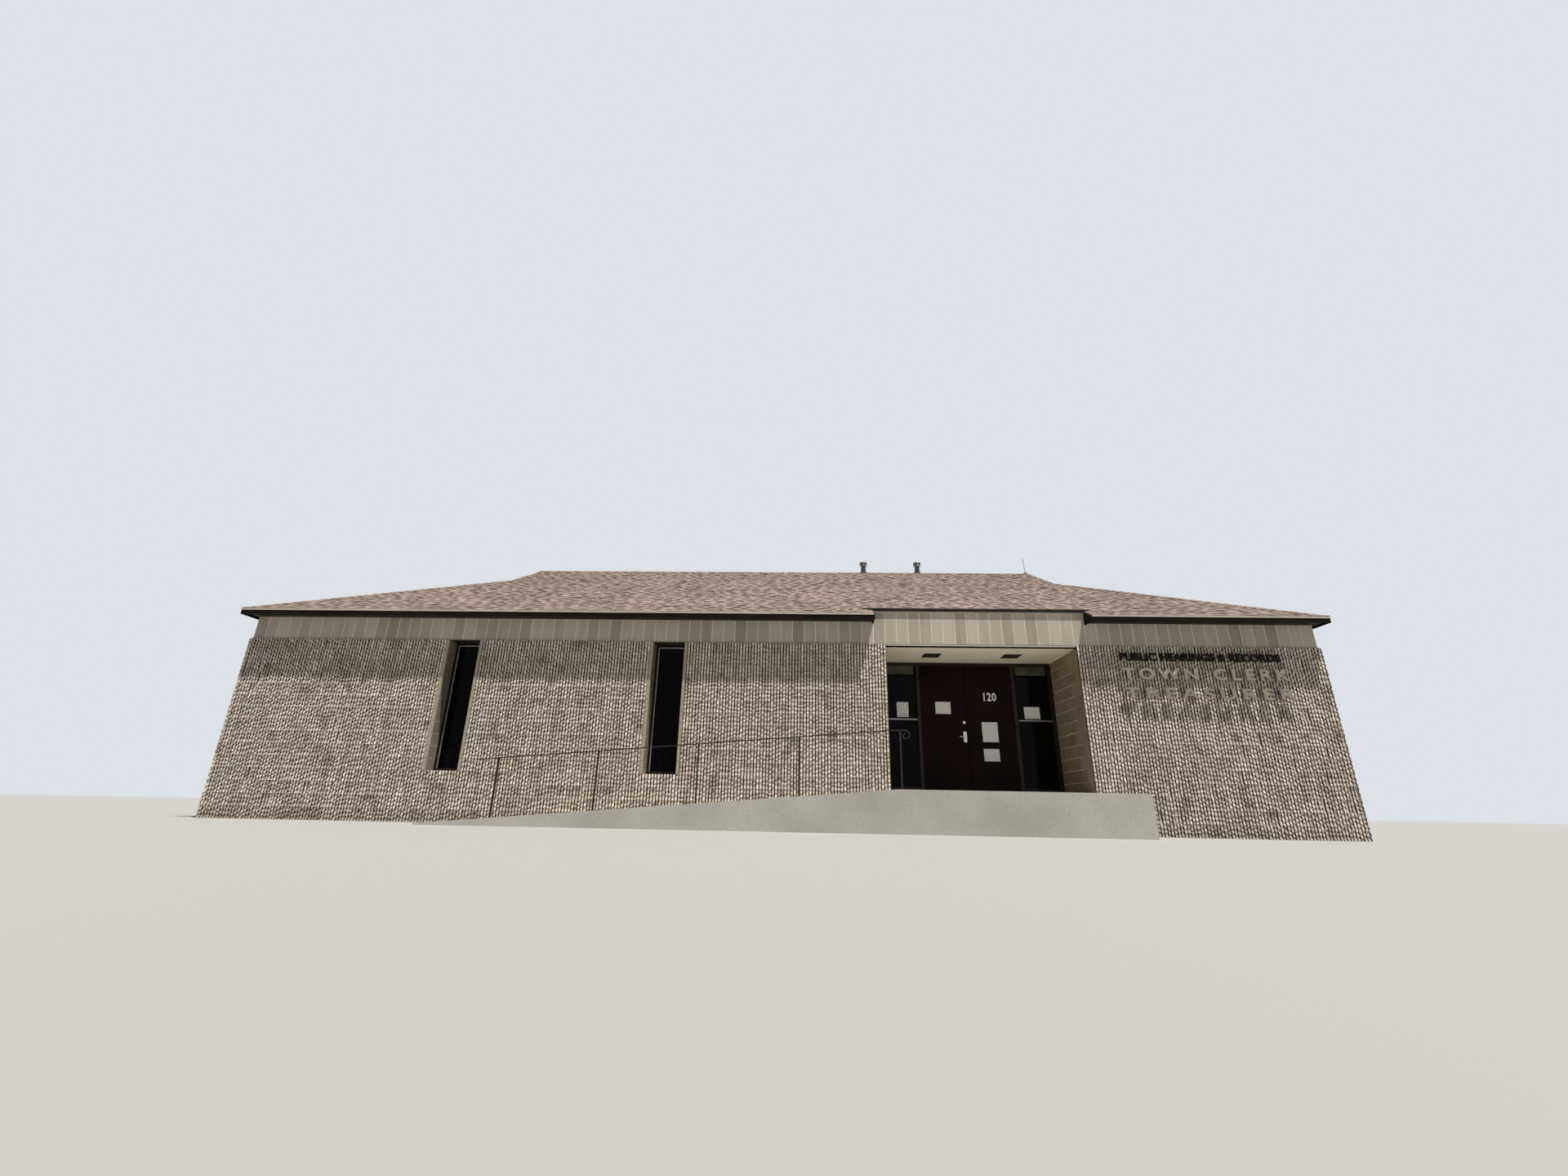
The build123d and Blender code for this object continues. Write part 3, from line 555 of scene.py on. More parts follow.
# Painted shade: the outer faces of the blocks, seen between the ribs, go near black as the shade in the deep
# gaps.
body = mixed(tree, outside, body, (0.045, 0.035, 0.028))
colour(tree, shader, body)
bumped(tree, shader, calc(tree, "SUBTRACT", patch["Fine"], joint), 0.4, 0.003)
dress(block_core, "front_wall_left", "front_wall_right", "left_wall", "right_wall")
dress(block_core, "rear_wall_left", "rear_wall_right")
recess_joint, tree, shader, patch, body = clouded(
    "recess_joint", 2.0, (0.56, 0.50, 0.38), (0.70, 0.64, 0.50), fine=80.0, Roughness=0.95
)
bumped(tree, shader, patch["Fine"], 0.4, 0.002)
dress(recess_joint, "entrance_walls")

# Siding bands above the blocks.
# Grooved boards stood on end, painted a warm grey; some have been repainted and are darker.
BOARD = 0.2032
BOARD_EDGE = 0.0065
SIDING_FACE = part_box("front_siding")[0].y
SET_IN = SIDING_FACE - FACE
WALL_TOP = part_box("front_wall_left")[1].z
SIDING_LOW = WALL_TOP + 0.012
SOFFIT_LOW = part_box("front_soffits")[0].z
NOTCH_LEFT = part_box("entrance_drip_strip")[0].x
NOTCH_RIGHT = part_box("entrance_drip_strip")[1].x
siding_paint, tree, shader = new_material("siding_paint", Roughness=0.75)
patch = use(tree, mottle, Scale=1.2, Fine_Scale=25.0)
dirt = use(tree, grime, Width=9.0)
tone = tone_of(tree)
body = mixed(tree, ranged(tree, tone, 0.0, 0.9), (0.40, 0.35, 0.285), (0.58, 0.525, 0.44))
body = over(tree, body, (0.36, 0.31, 0.245), 1.0, tone, 0.91, 0.93)
body = over(tree, body, (0.27, 0.20, 0.125), 0.4, dirt["Streak"])
body = over(tree, body, (0.52, 0.47, 0.38), 0.25, patch["Cloud"], 0.4)
colour(tree, shader, body)
bumped(tree, shader, patch["Fine"], 0.15, 0.002)
board = bar("board", (BOARD_EDGE, -0.0045, 0), (BOARD - BOARD_EDGE, 0, 1))
edit(board)
choose(board, "EDGE", lambda edge: edge.calc_length() > 0.5 and edge.verts[0].co.y < -0.002)
bpy.ops.mesh.bevel(offset=0.002)
done()
board = take_pattern(board)
boards = []
for x, y, angle, length in around(SET_IN):
    count = round(length / BOARD)
    for number in range(count):
        at = number * length / count
        tall = angle == 0 and NOTCH_LEFT < x + at + BOARD / 2 < NOTCH_RIGHT
        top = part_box("entrance_drip_strip")[0].z if tall else SOFFIT_LOW
        size = Matrix.Diagonal((length / count / BOARD, 1, top - SIDING_LOW, 1))
        place = turned(x, y, angle, SIDING_LOW) @ moved(at, 0, 0) @ size
        boards.append((0, place, rng.random()))
lay("siding_boards", [board], boards, siding_paint)
# The groove floors are painted near white: partly their own lighter, less weathered paint, partly a painted
# highlight where light catches them.
siding_groove = clouded("siding_groove", 3.0, (0.86, 0.82, 0.74), (0.94, 0.91, 0.84), Roughness=0.8)[0]
dress(siding_groove, "front_siding", "rear_siding", "side_siding")


def soften(piece, width):
    """Take off every edge of a piece by a small width."""
    edit(piece)
    bpy.ops.mesh.bevel(offset=width)
    done()
    return piece


flashing = clouded("flashing", 5.0, (0.20, 0.17, 0.13), (0.34, 0.30, 0.24), Roughness=0.6)[0]
strip = bar("flashing", (0, SET_IN - 0.016, 0), (1, SET_IN + 0.004, 0.012))
edit(strip)
nudge(strip, lambda vertex: vertex.co.y < SET_IN - 0.01 and vertex.co.z > 0.01, (0, 0, -0.006))
done()
strip = take_pattern(strip)
places = []
for x, y, angle, length in around():
    place = turned(x, y, angle, WALL_TOP) @ Matrix.Diagonal((length, 1, 1, 1))
    places.append((0, place, rng.random()))
lay("siding_foot_flashing", [strip], places, flashing)
TRIM_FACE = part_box("entrance_trim")[0].y
# A ledge over the head of the recess, in the same near-white paint: a painted highlight along its lit edge.
low = (RECESS_LEFT, TRIM_FACE - 0.006, WALL_TOP - 0.022)
ledge = bar("recess_head_flashing", low, (RECESS_RIGHT, TRIM_FACE + 0.002, WALL_TOP + 0.004))
fix(soften(ledge, 0.002), siding_groove)

# Shingles.
# Laminated asphalt shingles in 25 courses up to the gablets: a metre strip with thicker tabs of
# random width on it, their lower edges lifted here and there by weather, and dark bands between.
EAVE_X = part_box("roof_front")[1].x
EAVE_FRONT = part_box("roof_front")[0].y
EAVE_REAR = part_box("roof_rear")[1].y
EAVE_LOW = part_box("roof_front")[0].z
RIDGE_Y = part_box("roof_front")[1].y
RIDGE_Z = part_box("roof_front")[1].z
HIP_RUN = 3.18
HIP_COURSES = 25
EAVE_Z = EAVE_LOW + 0.030
PITCH = math.atan2(RIDGE_Z - EAVE_Z, RIDGE_Y - EAVE_FRONT)
EXPOSURE = HIP_RUN / math.cos(PITCH) / HIP_COURSES
NOTCH_COURSES = 2
NOTCH_GAP = 0.020
GABLET_REACH = 1.38
ACROSS = Vector((1, 0, 0))
shingle, tree, shader = new_material("shingle", Roughness=0.93)
patch = use(tree, mottle, Scale=0.8, Fine_Scale=160.0)
tone = tone_of(tree)
body = mixed(tree, ranged(tree, tone, 0.0, 1.0), (0.126, 0.096, 0.082), (0.392, 0.302, 0.259))
body = over(tree, body, (0.37, 0.31, 0.26), 0.35, patch["Fine"], 0.3)
body = over(tree, body, (0.165, 0.13, 0.105), 0.3, patch["Cloud"], 0.4)
colour(tree, shader, body)
bumped(tree, shader, patch["Fine"], 0.6, 0.003)


def shingle_strip(seed):
    """A metre of shingle, one course high, with tabs of uneven width and unevenly lifted lower edges."""
    dice = random.Random(seed)
    cuts = [0.06 + dice.random() * 0.08]
    while cuts[-1] < 0.86:
        cuts.append(cuts[-1] + 0.07 + dice.random() * 0.11)
    end = 0.998
    strip = bar("strip", (0, 0, -0.001), (end, EXPOSURE - 0.001, 0.0045))
    edit(strip)
    slice_at(ACROSS, cuts)
    nudge(strip, lambda vertex: vertex.co.y > EXPOSURE / 2 and vertex.co.z > 0, (0, 0, -0.003))
    edges = [0] + cuts + [end]
    tabs = list(zip(edges[0::2], edges[1::2]))

    def tab_at(x):
        """The number of the tab over x, in a list that is empty between tabs."""
        return [number for number, (low, high) in enumerate(tabs) if low < x < high]

    choose(strip, "FACE", lambda face: face.normal.z > 0.9 and tab_at(face.calc_center_median().x))
    bpy.ops.mesh.extrude_region_shrink_fatten(TRANSFORM_OT_shrink_fatten={"value": 0.0055})
    for edge in edges:
        nudge(
            strip,
            lambda v: abs(v.co.x - edge) < 0.001 and v.co.y < 0.001 and v.co.z > 0.003,
            (0, 0, 0.013 * dice.random() ** 2.5),
        )
    done()
    mesh = take_pattern(strip)
    shades = [0.45 * dice.random() for tab in tabs]
    tones = []
    for face in mesh.polygons:
        tab = tab_at(face.center.x)
        tones.append(shades[tab[0]] if tab and face.center.z > 0.003 else -0.2)
    return toned(mesh, tones)


def slope_at(x, y, angle):
    """The frame of a roof slope: x along the eave, y up the slope, z out of it."""
    return turned(x, y, angle, EAVE_Z) @ Matrix.Rotation(PITCH, 4, "X")


def course_of(slope, course, start, end, low=0.0, high=1.0):
    """The places of the strips of one course; low and high trim it up the slope."""
    places = []
    at = start
    while at < end - 0.02:
        length = min(1.0, end - at)
        if at == start and length == 1.0:
            length = 0.3 + 0.7 * rng.random()
        lift = moved(at, (course + low) * EXPOSURE, 0.001 + 0.001 * rng.random())
        size = Matrix.Diagonal((length, high - low, 1, 1))
        places.append((rng.randrange(len(strips)), slope @ lift @ size, 0.30 + 0.26 * rng.random()))
        at += length
    return places


def trimmed(piece, planes):
    """Cut a laid piece along planes, throwing away what lies outside each, and close the cuts."""
    for place, normal in planes:
        edit(piece)
        bpy.ops.mesh.bisect(plane_co=place, plane_no=normal, clear_outer=True, use_fill=True)
        done()


strips = [shingle_strip(seed) for seed in range(16)]
for name, slope, eave, outward in (
    ("front", slope_at(0, EAVE_FRONT, 0), EAVE_FRONT, -1),
    ("rear", slope_at(0, EAVE_REAR, 180), EAVE_REAR, 1),
):
    lower = []
    upper = []
    for course in range(HIP_COURSES):
        reach = EAVE_X - course * EXPOSURE * math.cos(PITCH)
        if name == "front" and course <= NOTCH_COURSES:
            lower += course_of(slope, course, -reach, NOTCH_LEFT - NOTCH_GAP)
            lower += course_of(slope, course, NOTCH_RIGHT + NOTCH_GAP, reach)
        else:
            lower += course_of(slope, course, -reach, reach)
    if name == "front":
        cut_back = (FACE - EAVE_FRONT) / math.cos(PITCH) / EXPOSURE - NOTCH_COURSES + 0.02
        reach = (NOTCH_LEFT - NOTCH_GAP + 0.002, NOTCH_RIGHT + NOTCH_GAP - 0.002)
        lower += course_of(slope, NOTCH_COURSES, *reach, low=cut_back)
    gable = EAVE_X - HIP_RUN
    courses = (RIDGE_Y - EAVE_FRONT) / math.cos(PITCH) / EXPOSURE
    for course in range(HIP_COURSES, math.ceil(courses)):
        upper += course_of(slope, course, -gable, gable, high=min(1.0, courses - course))
    lower = lay("shingles_" + name + "_lower", strips, lower, shingle)
    trimmed(lower, [((EAVE_X, eave, 0), (1, -outward, 0)), ((-EAVE_X, eave, 0), (-1, -outward, 0))])
    lay("shingles_" + name + "_upper", strips, upper, shingle)
for name, side in (("right", 1), ("left", -1)):
    slope = slope_at(side * EAVE_X, RIDGE_Y, side * 90)
    places = []
    for course in range(HIP_COURSES):
        reach = (EAVE_REAR - EAVE_FRONT) / 2 - course * EXPOSURE * math.cos(PITCH)
        places += course_of(slope, course, -reach, reach)
    places += course_of(slope, HIP_COURSES, -GABLET_REACH, GABLET_REACH, high=0.76)
    piece = lay("shingles_" + name, strips, places, shingle)
    front_hip = ((side * EAVE_X, EAVE_FRONT, 0), (-side, -1, 0))
    rear_hip = ((side * EAVE_X, EAVE_REAR, 0), (-side, 1, 0))
    trimmed(piece, [front_hip, rear_hip])

# Ridge and hip caps.
# Single shingles cut from the same strips, folded over the ridge and the hips and nailed so that each
# laps the one below it.
BREAK_Z = EAVE_Z + HIP_RUN * math.tan(PITCH)
CAP_HALF = 0.125
CAP_LAP = 0.145
HIP_DROP = 0.351


def cap(drop):
    """A cap shingle folded so that its sides fall by drop for each metre out."""
    piece = bar("cap", (-CAP_HALF, 0, 0), (CAP_HALF, CAP_LAP + 0.005, 0.006))
    edit(piece)
    slice_at(ACROSS, [0])
    nudge(piece, lambda vertex: abs(vertex.co.x) > 0.1, (0, 0, -CAP_HALF * drop))
    nudge(piece, lambda vertex: vertex.co.y < 0.01, (0, 0, 0.006))
    done()
    return take_pattern(piece)


def along(start, end):
    """A frame that runs from start to end, with its z as upright as can be, and the length."""
    start = Vector(start)
    end = Vector(end)
    run = (end - start).normalized()
    across = run.cross(UP).normalized()
    turn = Matrix((across, run, across.cross(run))).transposed().to_4x4()
    return Matrix.Translation(start) @ turn, (end - start).length


caps = [cap(math.tan(PITCH)), cap(HIP_DROP)]
places = []
lines = [(0, (-EAVE_X + HIP_RUN, RIDGE_Y, RIDGE_Z), (EAVE_X - HIP_RUN, RIDGE_Y, RIDGE_Z))]
for side in (-1, 1):
    for eave, way in ((EAVE_FRONT, 1), (EAVE_REAR, -1)):
        low = (side * EAVE_X, eave, EAVE_Z)
        lines.append((1, low, (side * (EAVE_X - HIP_RUN), eave + way * HIP_RUN, BREAK_Z)))
for pick, start, end in lines:
    line, length = along(start, end)
    count = round(length / CAP_LAP)
    for number in range(count):
        shift = moved(0, number * length / count, 0.008 + 0.003 * rng.random())
        places.append((pick, line @ shift, 0.35 + 0.5 * rng.random()))
piece = lay("ridge_and_hip_caps", caps, places, shingle)
trimmed(piece, [((EAVE_X, 0, 0), ACROSS), ((-EAVE_X, 0, 0), -ACROSS)])
trimmed(piece, [((0, EAVE_FRONT, 0), (0, -1, 0)), ((0, EAVE_REAR, 0), (0, 1, 0))])

# Roof deck.
# Boards under black felt, seen only as a dark line between the courses of the shingles nailed to it.
deck = clouded("deck_felt", 3.0, (0.02, 0.016, 0.014), (0.04, 0.033, 0.028), Roughness=0.9)[0]
dress(deck, "roof_front", "roof_rear", "roof_left", "roof_right")

# Metal drip edges along the eaves, and the turned-up edge over the entrance.
# Folded sheet, painted tan at the eaves and black over the entrance, nailed under the first course.
drip, tree, shader, patch, body = clouded(
    "drip_metal", 4.0, (0.52, 0.455, 0.39), (0.62, 0.555, 0.49), fine=60.0, Roughness=0.5
)
colour(tree, shader, over(tree, body, (0.12, 0.09, 0.07), 0.6, patch["Fine"], 0.75))
FRONT = EAVE_FRONT - 0.006
BACK = EAVE_REAR + 0.006
eaves = [
    ((-EAVE_X, FRONT), (NOTCH_LEFT - NOTCH_GAP, EAVE_FRONT)),
    ((NOTCH_RIGHT + NOTCH_GAP, FRONT), (EAVE_X, EAVE_FRONT)),
    ((-EAVE_X, EAVE_REAR), (EAVE_X, BACK)),
    ((-EAVE_X - 0.006, FRONT), (-EAVE_X, BACK)),
    ((EAVE_X, FRONT), (EAVE_X + 0.006, BACK)),
]
for number, (low, high) in enumerate(eaves):
    edge = bar("eave_drip_edge_%d" % (number + 1), (*low, EAVE_LOW + 0.004), (*high, EAVE_Z + 0.003))
    fix(soften(edge, 0.0015), drip)
dress(drip, "entrance_drip_strip")
black_edge = clouded(
    "black_edge", 6.0, (0.012, 0.010, 0.009), (0.03, 0.024, 0.02), Roughness=0.6, Specular_IOR_Level=0.2
)[0]
EDGE_LOW = 3.672
EDGE_HIGH = 3.700
low = (NOTCH_LEFT - 0.190, FACE - 0.030, EDGE_LOW)
edge = bar("entrance_edge_flashing", low, (NOTCH_RIGHT + 0.095, FACE + 0.010, EDGE_HIGH))
edit(edge)
nudge(edge, lambda vertex: vertex.co.y > FACE, (0, 0, 0.006))
done()
fix(soften(edge, 0.003), black_edge)
dress(black_edge, "entrance_roof_edge")

# Eave trim: fascias, soffits and the louvred gablets.
# Boards nailed to the rafter ends and under them, all painted very dark brown; the soffits are grooved.
trim_paint, tree, shader, patch, body = clouded(
    "dark_trim_paint",
    2.0,
    (0.005, 0.0033, 0.0025),
    (0.011, 0.008, 0.0065),
    fine=40.0,
    Roughness=0.6,
    Specular_IOR_Level=0.06,
)
colour(tree, shader, over(tree, body, (0.03, 0.023, 0.018), 0.5, patch["Fine"], 0.8))
bumped(tree, shader, patch["Fine"], 0.1, 0.001)
dress(trim_paint, "front_fascias", "rear_fascia", "side_fascias", "gable_vents", "entrance_trim")


def grooves(tree, spacing, width):
    """Lines that run from front to back, soft over a small width."""
    line = calc(tree, "PINGPONG", here(tree)[1]["X"], spacing / 2)
    return ranged(tree, line, 0.0, width, 1.0, 0.0)


soffit_paint, tree, shader, patch, body = clouded(
    "soffit_paint", 2.0, (0.012, 0.009, 0.007), (0.02, 0.015, 0.012), Roughness=0.65, Specular_IOR_Level=0.2
)
line = grooves(tree, BOARD / 2, 0.004)
colour(tree, shader, mixed(tree, line, body, (0.008, 0.006, 0.005)))
bumped(tree, shader, line, -0.5, 0.003)
dress(soffit_paint, "front_soffits", "rear_soffit", "side_soffits")

# Slot windows.
# Dark bronze aluminium frames with a bare metal bead at the head and left jamb, dark glass, and
# slatted blinds hung behind the head of each.
bronze, tree, shader, patch, body = clouded(
    "dark_bronze",
    5.0,
    (0.016, 0.011, 0.009),
    (0.026, 0.019, 0.015),
    fine=80.0,
    Metallic=0.3,
    Specular_IOR_Level=0.2,
)
feed(tree, shader.inputs["Roughness"], ranged(tree, patch["Fine"], 0.0, 1.0, 0.3, 0.5))
dress(bronze, "window_frames", "entrance_posts", "entrance_head", "sidelight_rails")
glass = new_material(
    "dark_glass", Base_Color=(0.002, 0.002, 0.002), Roughness=0.05, Specular_IOR_Level=0.05, Alpha=0.7
)[0]
dress(glass, "window_glass")
bare_metal = clouded(
    "bare_aluminium", 9.0, (0.42, 0.41, 0.38), (0.58, 0.57, 0.54), Roughness=0.35, Metallic=0.7
)[0]
blind_cloth, tree, shader = new_material("blind_slats", Roughness=0.6)
colour(tree, shader, mixed(tree, tone_of(tree), (0.60, 0.56, 0.47), (0.75, 0.71, 0.61)))
SETBACK = 0.230
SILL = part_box("window_frames")[0].z
FRAME = 0.045
BEAD = -FRAME - 0.014
SLATS = 6
EVEN = 0.5
beads = []
for low, high in (
    ((FRAME, 0.002, BEAD), (SLOT_WIDTH - FRAME, 0.026, -FRAME)),
    ((FRAME, 0.002, SILL + FRAME - WALL_TOP), (FRAME + 0.012, 0.026, BEAD)),
    ((0, 0.012 - SETBACK, -0.009), (SLOT_WIDTH, 0.004, -0.001)),
):
    beads.append(take_pattern(soften(bar("bead", low, high), 0.0015)))
slat = bar("slat", (0.06, 0.012, 0), (SLOT_WIDTH - 0.06, 0.034, 0.0015))
edit(slat)
bpy.ops.transform.rotate(value=math.radians(35), orient_axis="X", center_override=(0, 0.023, 0))
done()
slat = take_pattern(slat)
bead_places = []
head_places = []
slat_places = []
for wall, length, slots in WALLS.values():
    for slot in slots:
        at = wall @ moved(slot, SETBACK, WALL_TOP)
        bead_places += [(0, at, EVEN), (1, at, EVEN)]
        head_places.append((2, at, EVEN))
        for number in range(SLATS):
            drop = moved(0, 0.045, -0.075 - 0.012 * number)
            slat_places.append((0, at @ drop, rng.random()))
lay("window_beads", beads, bead_places, bare_metal)
lay("window_head_boards", beads, head_places, bronze)
lay("window_blinds", [slat], slat_places, blind_cloth)

# Entrance soffit.
# Boards painted cream with two square lights let into them, and a bare metal trim at the back edge.
cream, tree, shader, patch, body = clouded(
    "cream_soffit", 1.5, (0.88, 0.81, 0.64), (0.91, 0.85, 0.69), Roughness=0.7
)
line = grooves(tree, BOARD, 0.003)
colour(tree, shader, mixed(tree, calc(tree, "MULTIPLY", line, 0.2), body, (0.45, 0.38, 0.26)))
bumped(tree, shader, line, -0.3, 0.002)
dress(cream, "entrance_soffit")
SOFFIT_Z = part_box("entrance_soffit")[0].z
MIDDLE = (RECESS_LEFT + RECESS_RIGHT) / 2
low = (RECESS_LEFT + 0.01, SCREEN - 0.022, SOFFIT_Z - 0.012)
pale_trim = bar("soffit_back_trim", low, (RECESS_RIGHT - 0.01, SCREEN + 0.014, SOFFIT_Z))
fix(soften(pale_trim, 0.003), bare_metal)
dark_lens = clouded("dark_lens", 30.0, (0.03, 0.027, 0.023), (0.05, 0.045, 0.04), Roughness=0.25)[0]
dress(dark_lens, "soffit_lights")
LIGHT_Y = (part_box("soffit_lights")[0].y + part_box("soffit_lights")[1].y) / 2
LIGHT_OUT = 0.72
RIM = 0.155
for number, x in enumerate((MIDDLE - LIGHT_OUT, MIDDLE + LIGHT_OUT)):
    low = (x - RIM, LIGHT_Y - RIM, SOFFIT_Z - 0.006)
    rim = bar("soffit_light_rim_%d" % (number + 1), low, (x + RIM, LIGHT_Y + RIM, SOFFIT_Z))
    edit(rim)
    choose(rim, "FACE", lambda face: face.normal.z < -0.9)
    bpy.ops.mesh.inset(thickness=0.022)
    bpy.ops.transform.translate(value=(0, 0, 0.004))
    bpy.ops.mesh.inset(thickness=0.012)
    bpy.ops.mesh.extrude_region_move(TRANSFORM_OT_translate={"value": (0, 0, -0.003)})
    done()
    fix(rim, dark_lens)

# Entrance doors and sidelights.
# Two hollow metal leaves painted dark maroon that open outwards on butt hinges, with plain numerals,
# a lever and a deadbolt; fixed dark glass beside them with a light bar at waist height.
door_paint, tree, shader, patch, body = clouded(
    "door_paint", 2.0, (0.007, 0.0022, 0.002), (0.012, 0.0042, 0.0036), fine=25.0, Specular_IOR_Level=0.05
)
feed(tree, shader.inputs["Roughness"], ranged(tree, patch["Fine"], 0.0, 1.0, 0.3, 0.45))
dress(door_paint, "door_left", "door_right")
side_glass = new_material(
    "sidelight_glass", Base_Color=(0.004, 0.004, 0.003), Roughness=0.05, Specular_IOR_Level=0.06, Alpha=0.8
)[0]
dress(side_glass, "sidelight_glass")
satin = clouded("satin_metal", 12.0, (0.50, 0.49, 0.46), (0.62, 0.61, 0.58), Roughness=0.3, Metallic=0.9)[0]
dress(satin, "threshold", "door_lock")
DOOR_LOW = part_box("door_left")[0]
DOOR_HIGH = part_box("door_right")[1]
DOOR_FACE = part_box("threshold")[0].y
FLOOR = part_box("entrance_landing")[1].z
deselect()
bpy.ops.mesh.primitive_cylinder_add(vertices=16, radius=0.007, depth=0.115, location=(0, 0, 0))
knuckle = bpy.context.object
edit(knuckle)
slice_at(UP, [-0.035, -0.012, 0.012, 0.035])
choose(knuckle, "FACE", lambda face: abs(face.normal.z) > 0.9)
bpy.ops.mesh.inset(thickness=0.002)
bpy.ops.mesh.extrude_region_shrink_fatten(TRANSFORM_OT_shrink_fatten={"value": 0.003})
done()
knuckle = take_pattern(knuckle)
for name, x in (("left", DOOR_LOW.x + 0.004), ("right", DOOR_HIGH.x - 0.004)):
    places = []
    for height in (0.28, 1.17, 2.05):
        places.append((0, moved(x, DOOR_FACE - 0.019, DOOR_LOW.z + height), EVEN))
    lay(name + "_leaf_hinges", [knuckle], places, bronze, name + "_leaf")
low = (MIDDLE - 0.022, DOOR_LOW.y - 0.004, DOOR_LOW.z + 0.01)
strip = bar("meeting_stile_cover", low, (MIDDLE - 0.001, DOOR_LOW.y + 0.004, DOOR_HIGH.z - 0.01))
fix(soften(strip, 0.002), door_paint, "left_leaf")
paper, tree, shader = new_material("paper", Roughness=0.8)
spot, axes = here(tree)
row = ranged(tree, calc(tree, "PINGPONG", axes["Z"], 0.011), 0.007, 0.008)
ink = ranged(tree, noise(tree, Vector=spot, Scale=38.0), 0.48, 0.52)
mark = calc(tree, "MULTIPLY", calc(tree, "MULTIPLY", row, ink), 0.7)
colour(tree, shader, mixed(tree, mark, (0.86, 0.86, 0.86), (0.30, 0.30, 0.30)))
GLASS_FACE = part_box("sidelight_glass")[0].y
for name, left, right, low, high, body in (
    ("notice_left_sidelight", 2.36, 2.576, 1.363, 1.641, "building"),
    ("notice_left_leaf", 3.07, 3.349, 1.422, 1.645, "left_leaf"),
    ("notice_right_leaf_tall", 3.90, 4.186, 0.921, 1.281, "right_leaf"),
    ("notice_right_leaf_low", 3.90, 4.18, 0.58, 0.80, "right_leaf"),
    ("notice_right_sidelight", 4.72, 5.006, 1.355, 1.578, "building"),
):
    face = GLASS_FACE if body == "building" else DOOR_LOW.y
    notice = bar(name, (left, face - 0.0006, FLOOR + low), (right, face, FLOOR + high))
    edit(notice)
    slice_at(UP, [FLOOR + low + 0.03, FLOOR + low + 0.06])
    nudge(notice, lambda vertex: vertex.co.z < FLOOR + low + 0.04, (0, -0.001, 0))
    nudge(notice, lambda vertex: vertex.co.z < FLOOR + low + 0.01, (0, -0.002, 0.001))
    done()
    fix(notice, paper, body)


def lettering(name, words, low, high, spread, weight):
    """Raised words that fill the space between two corners, lying in the xz plane."""
    deselect()
    bpy.ops.object.text_add(rotation=(math.pi / 2, 0, 0))
    piece = bpy.context.object
    piece.name = name
    piece.data.body = words
    piece.data.space_character = spread
    piece.data.extrude = 0.02
    piece.data.offset = weight
    piece.data.resolution_u = 3
    bpy.ops.object.convert(target="MESH")
    piece = bpy.context.object
    bpy.ops.object.transform_apply()
    edit(piece)
    bpy.ops.mesh.remove_doubles(threshold=0.0001)
    bpy.ops.mesh.normals_make_consistent(inside=False)
    done()
    spans = list(zip(*(vertex.co for vertex in piece.data.vertices)))
    least = Vector([min(span) for span in spans])
    most = Vector([max(span) for span in spans])
    low = Vector(low)
    high = Vector(high)
    size = [(high[axis] - low[axis]) / (most[axis] - least[axis]) for axis in range(3)]
    edit(piece)
    bpy.ops.transform.resize(value=size, center_override=least)
    bpy.ops.transform.translate(value=low - least)
    done()
    return piece


white_vinyl = clouded("white_vinyl", 20.0, (0.86, 0.86, 0.85), (0.92, 0.92, 0.91), Roughness=0.5)[0]
low = (3.972, DOOR_LOW.y - 0.0015, FLOOR + 1.67)
digits = lettering("door_numerals", "120", low, (4.207, DOOR_LOW.y, FLOOR + 1.826), 1.1, 0.024)
fix(digits, white_vinyl, "right_leaf")
BAR_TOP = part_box("sidelight_rails")[1].z
for name, left, right in (("left", 2.108, 2.72), ("right", 4.60, 5.2072)):
    low = (left, DOOR_FACE - 0.006, BAR_TOP - 0.024)
    strip = bar("sidelight_bar_" + name, low, (right, DOOR_FACE, BAR_TOP - 0.008))
    fix(soften(strip, 0.002), bare_metal)
spandrel_paint = clouded(
    "spandrel_paint", 6.0, (0.045, 0.045, 0.03), (0.085, 0.085, 0.055), Roughness=0.5, Specular_IOR_Level=0.2
)[0]
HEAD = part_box("entrance_head")[0].z
for name, left, right in (("left", 2.13, 2.70), ("right", 4.62, 5.185)):
    panel = bar("spandrel_" + name, (left, GLASS_FACE - 0.010, HEAD - 0.165), (right, GLASS_FACE, HEAD))
    fix(soften(framed(panel, 0.022, 0.005), 0.001), spandrel_paint)

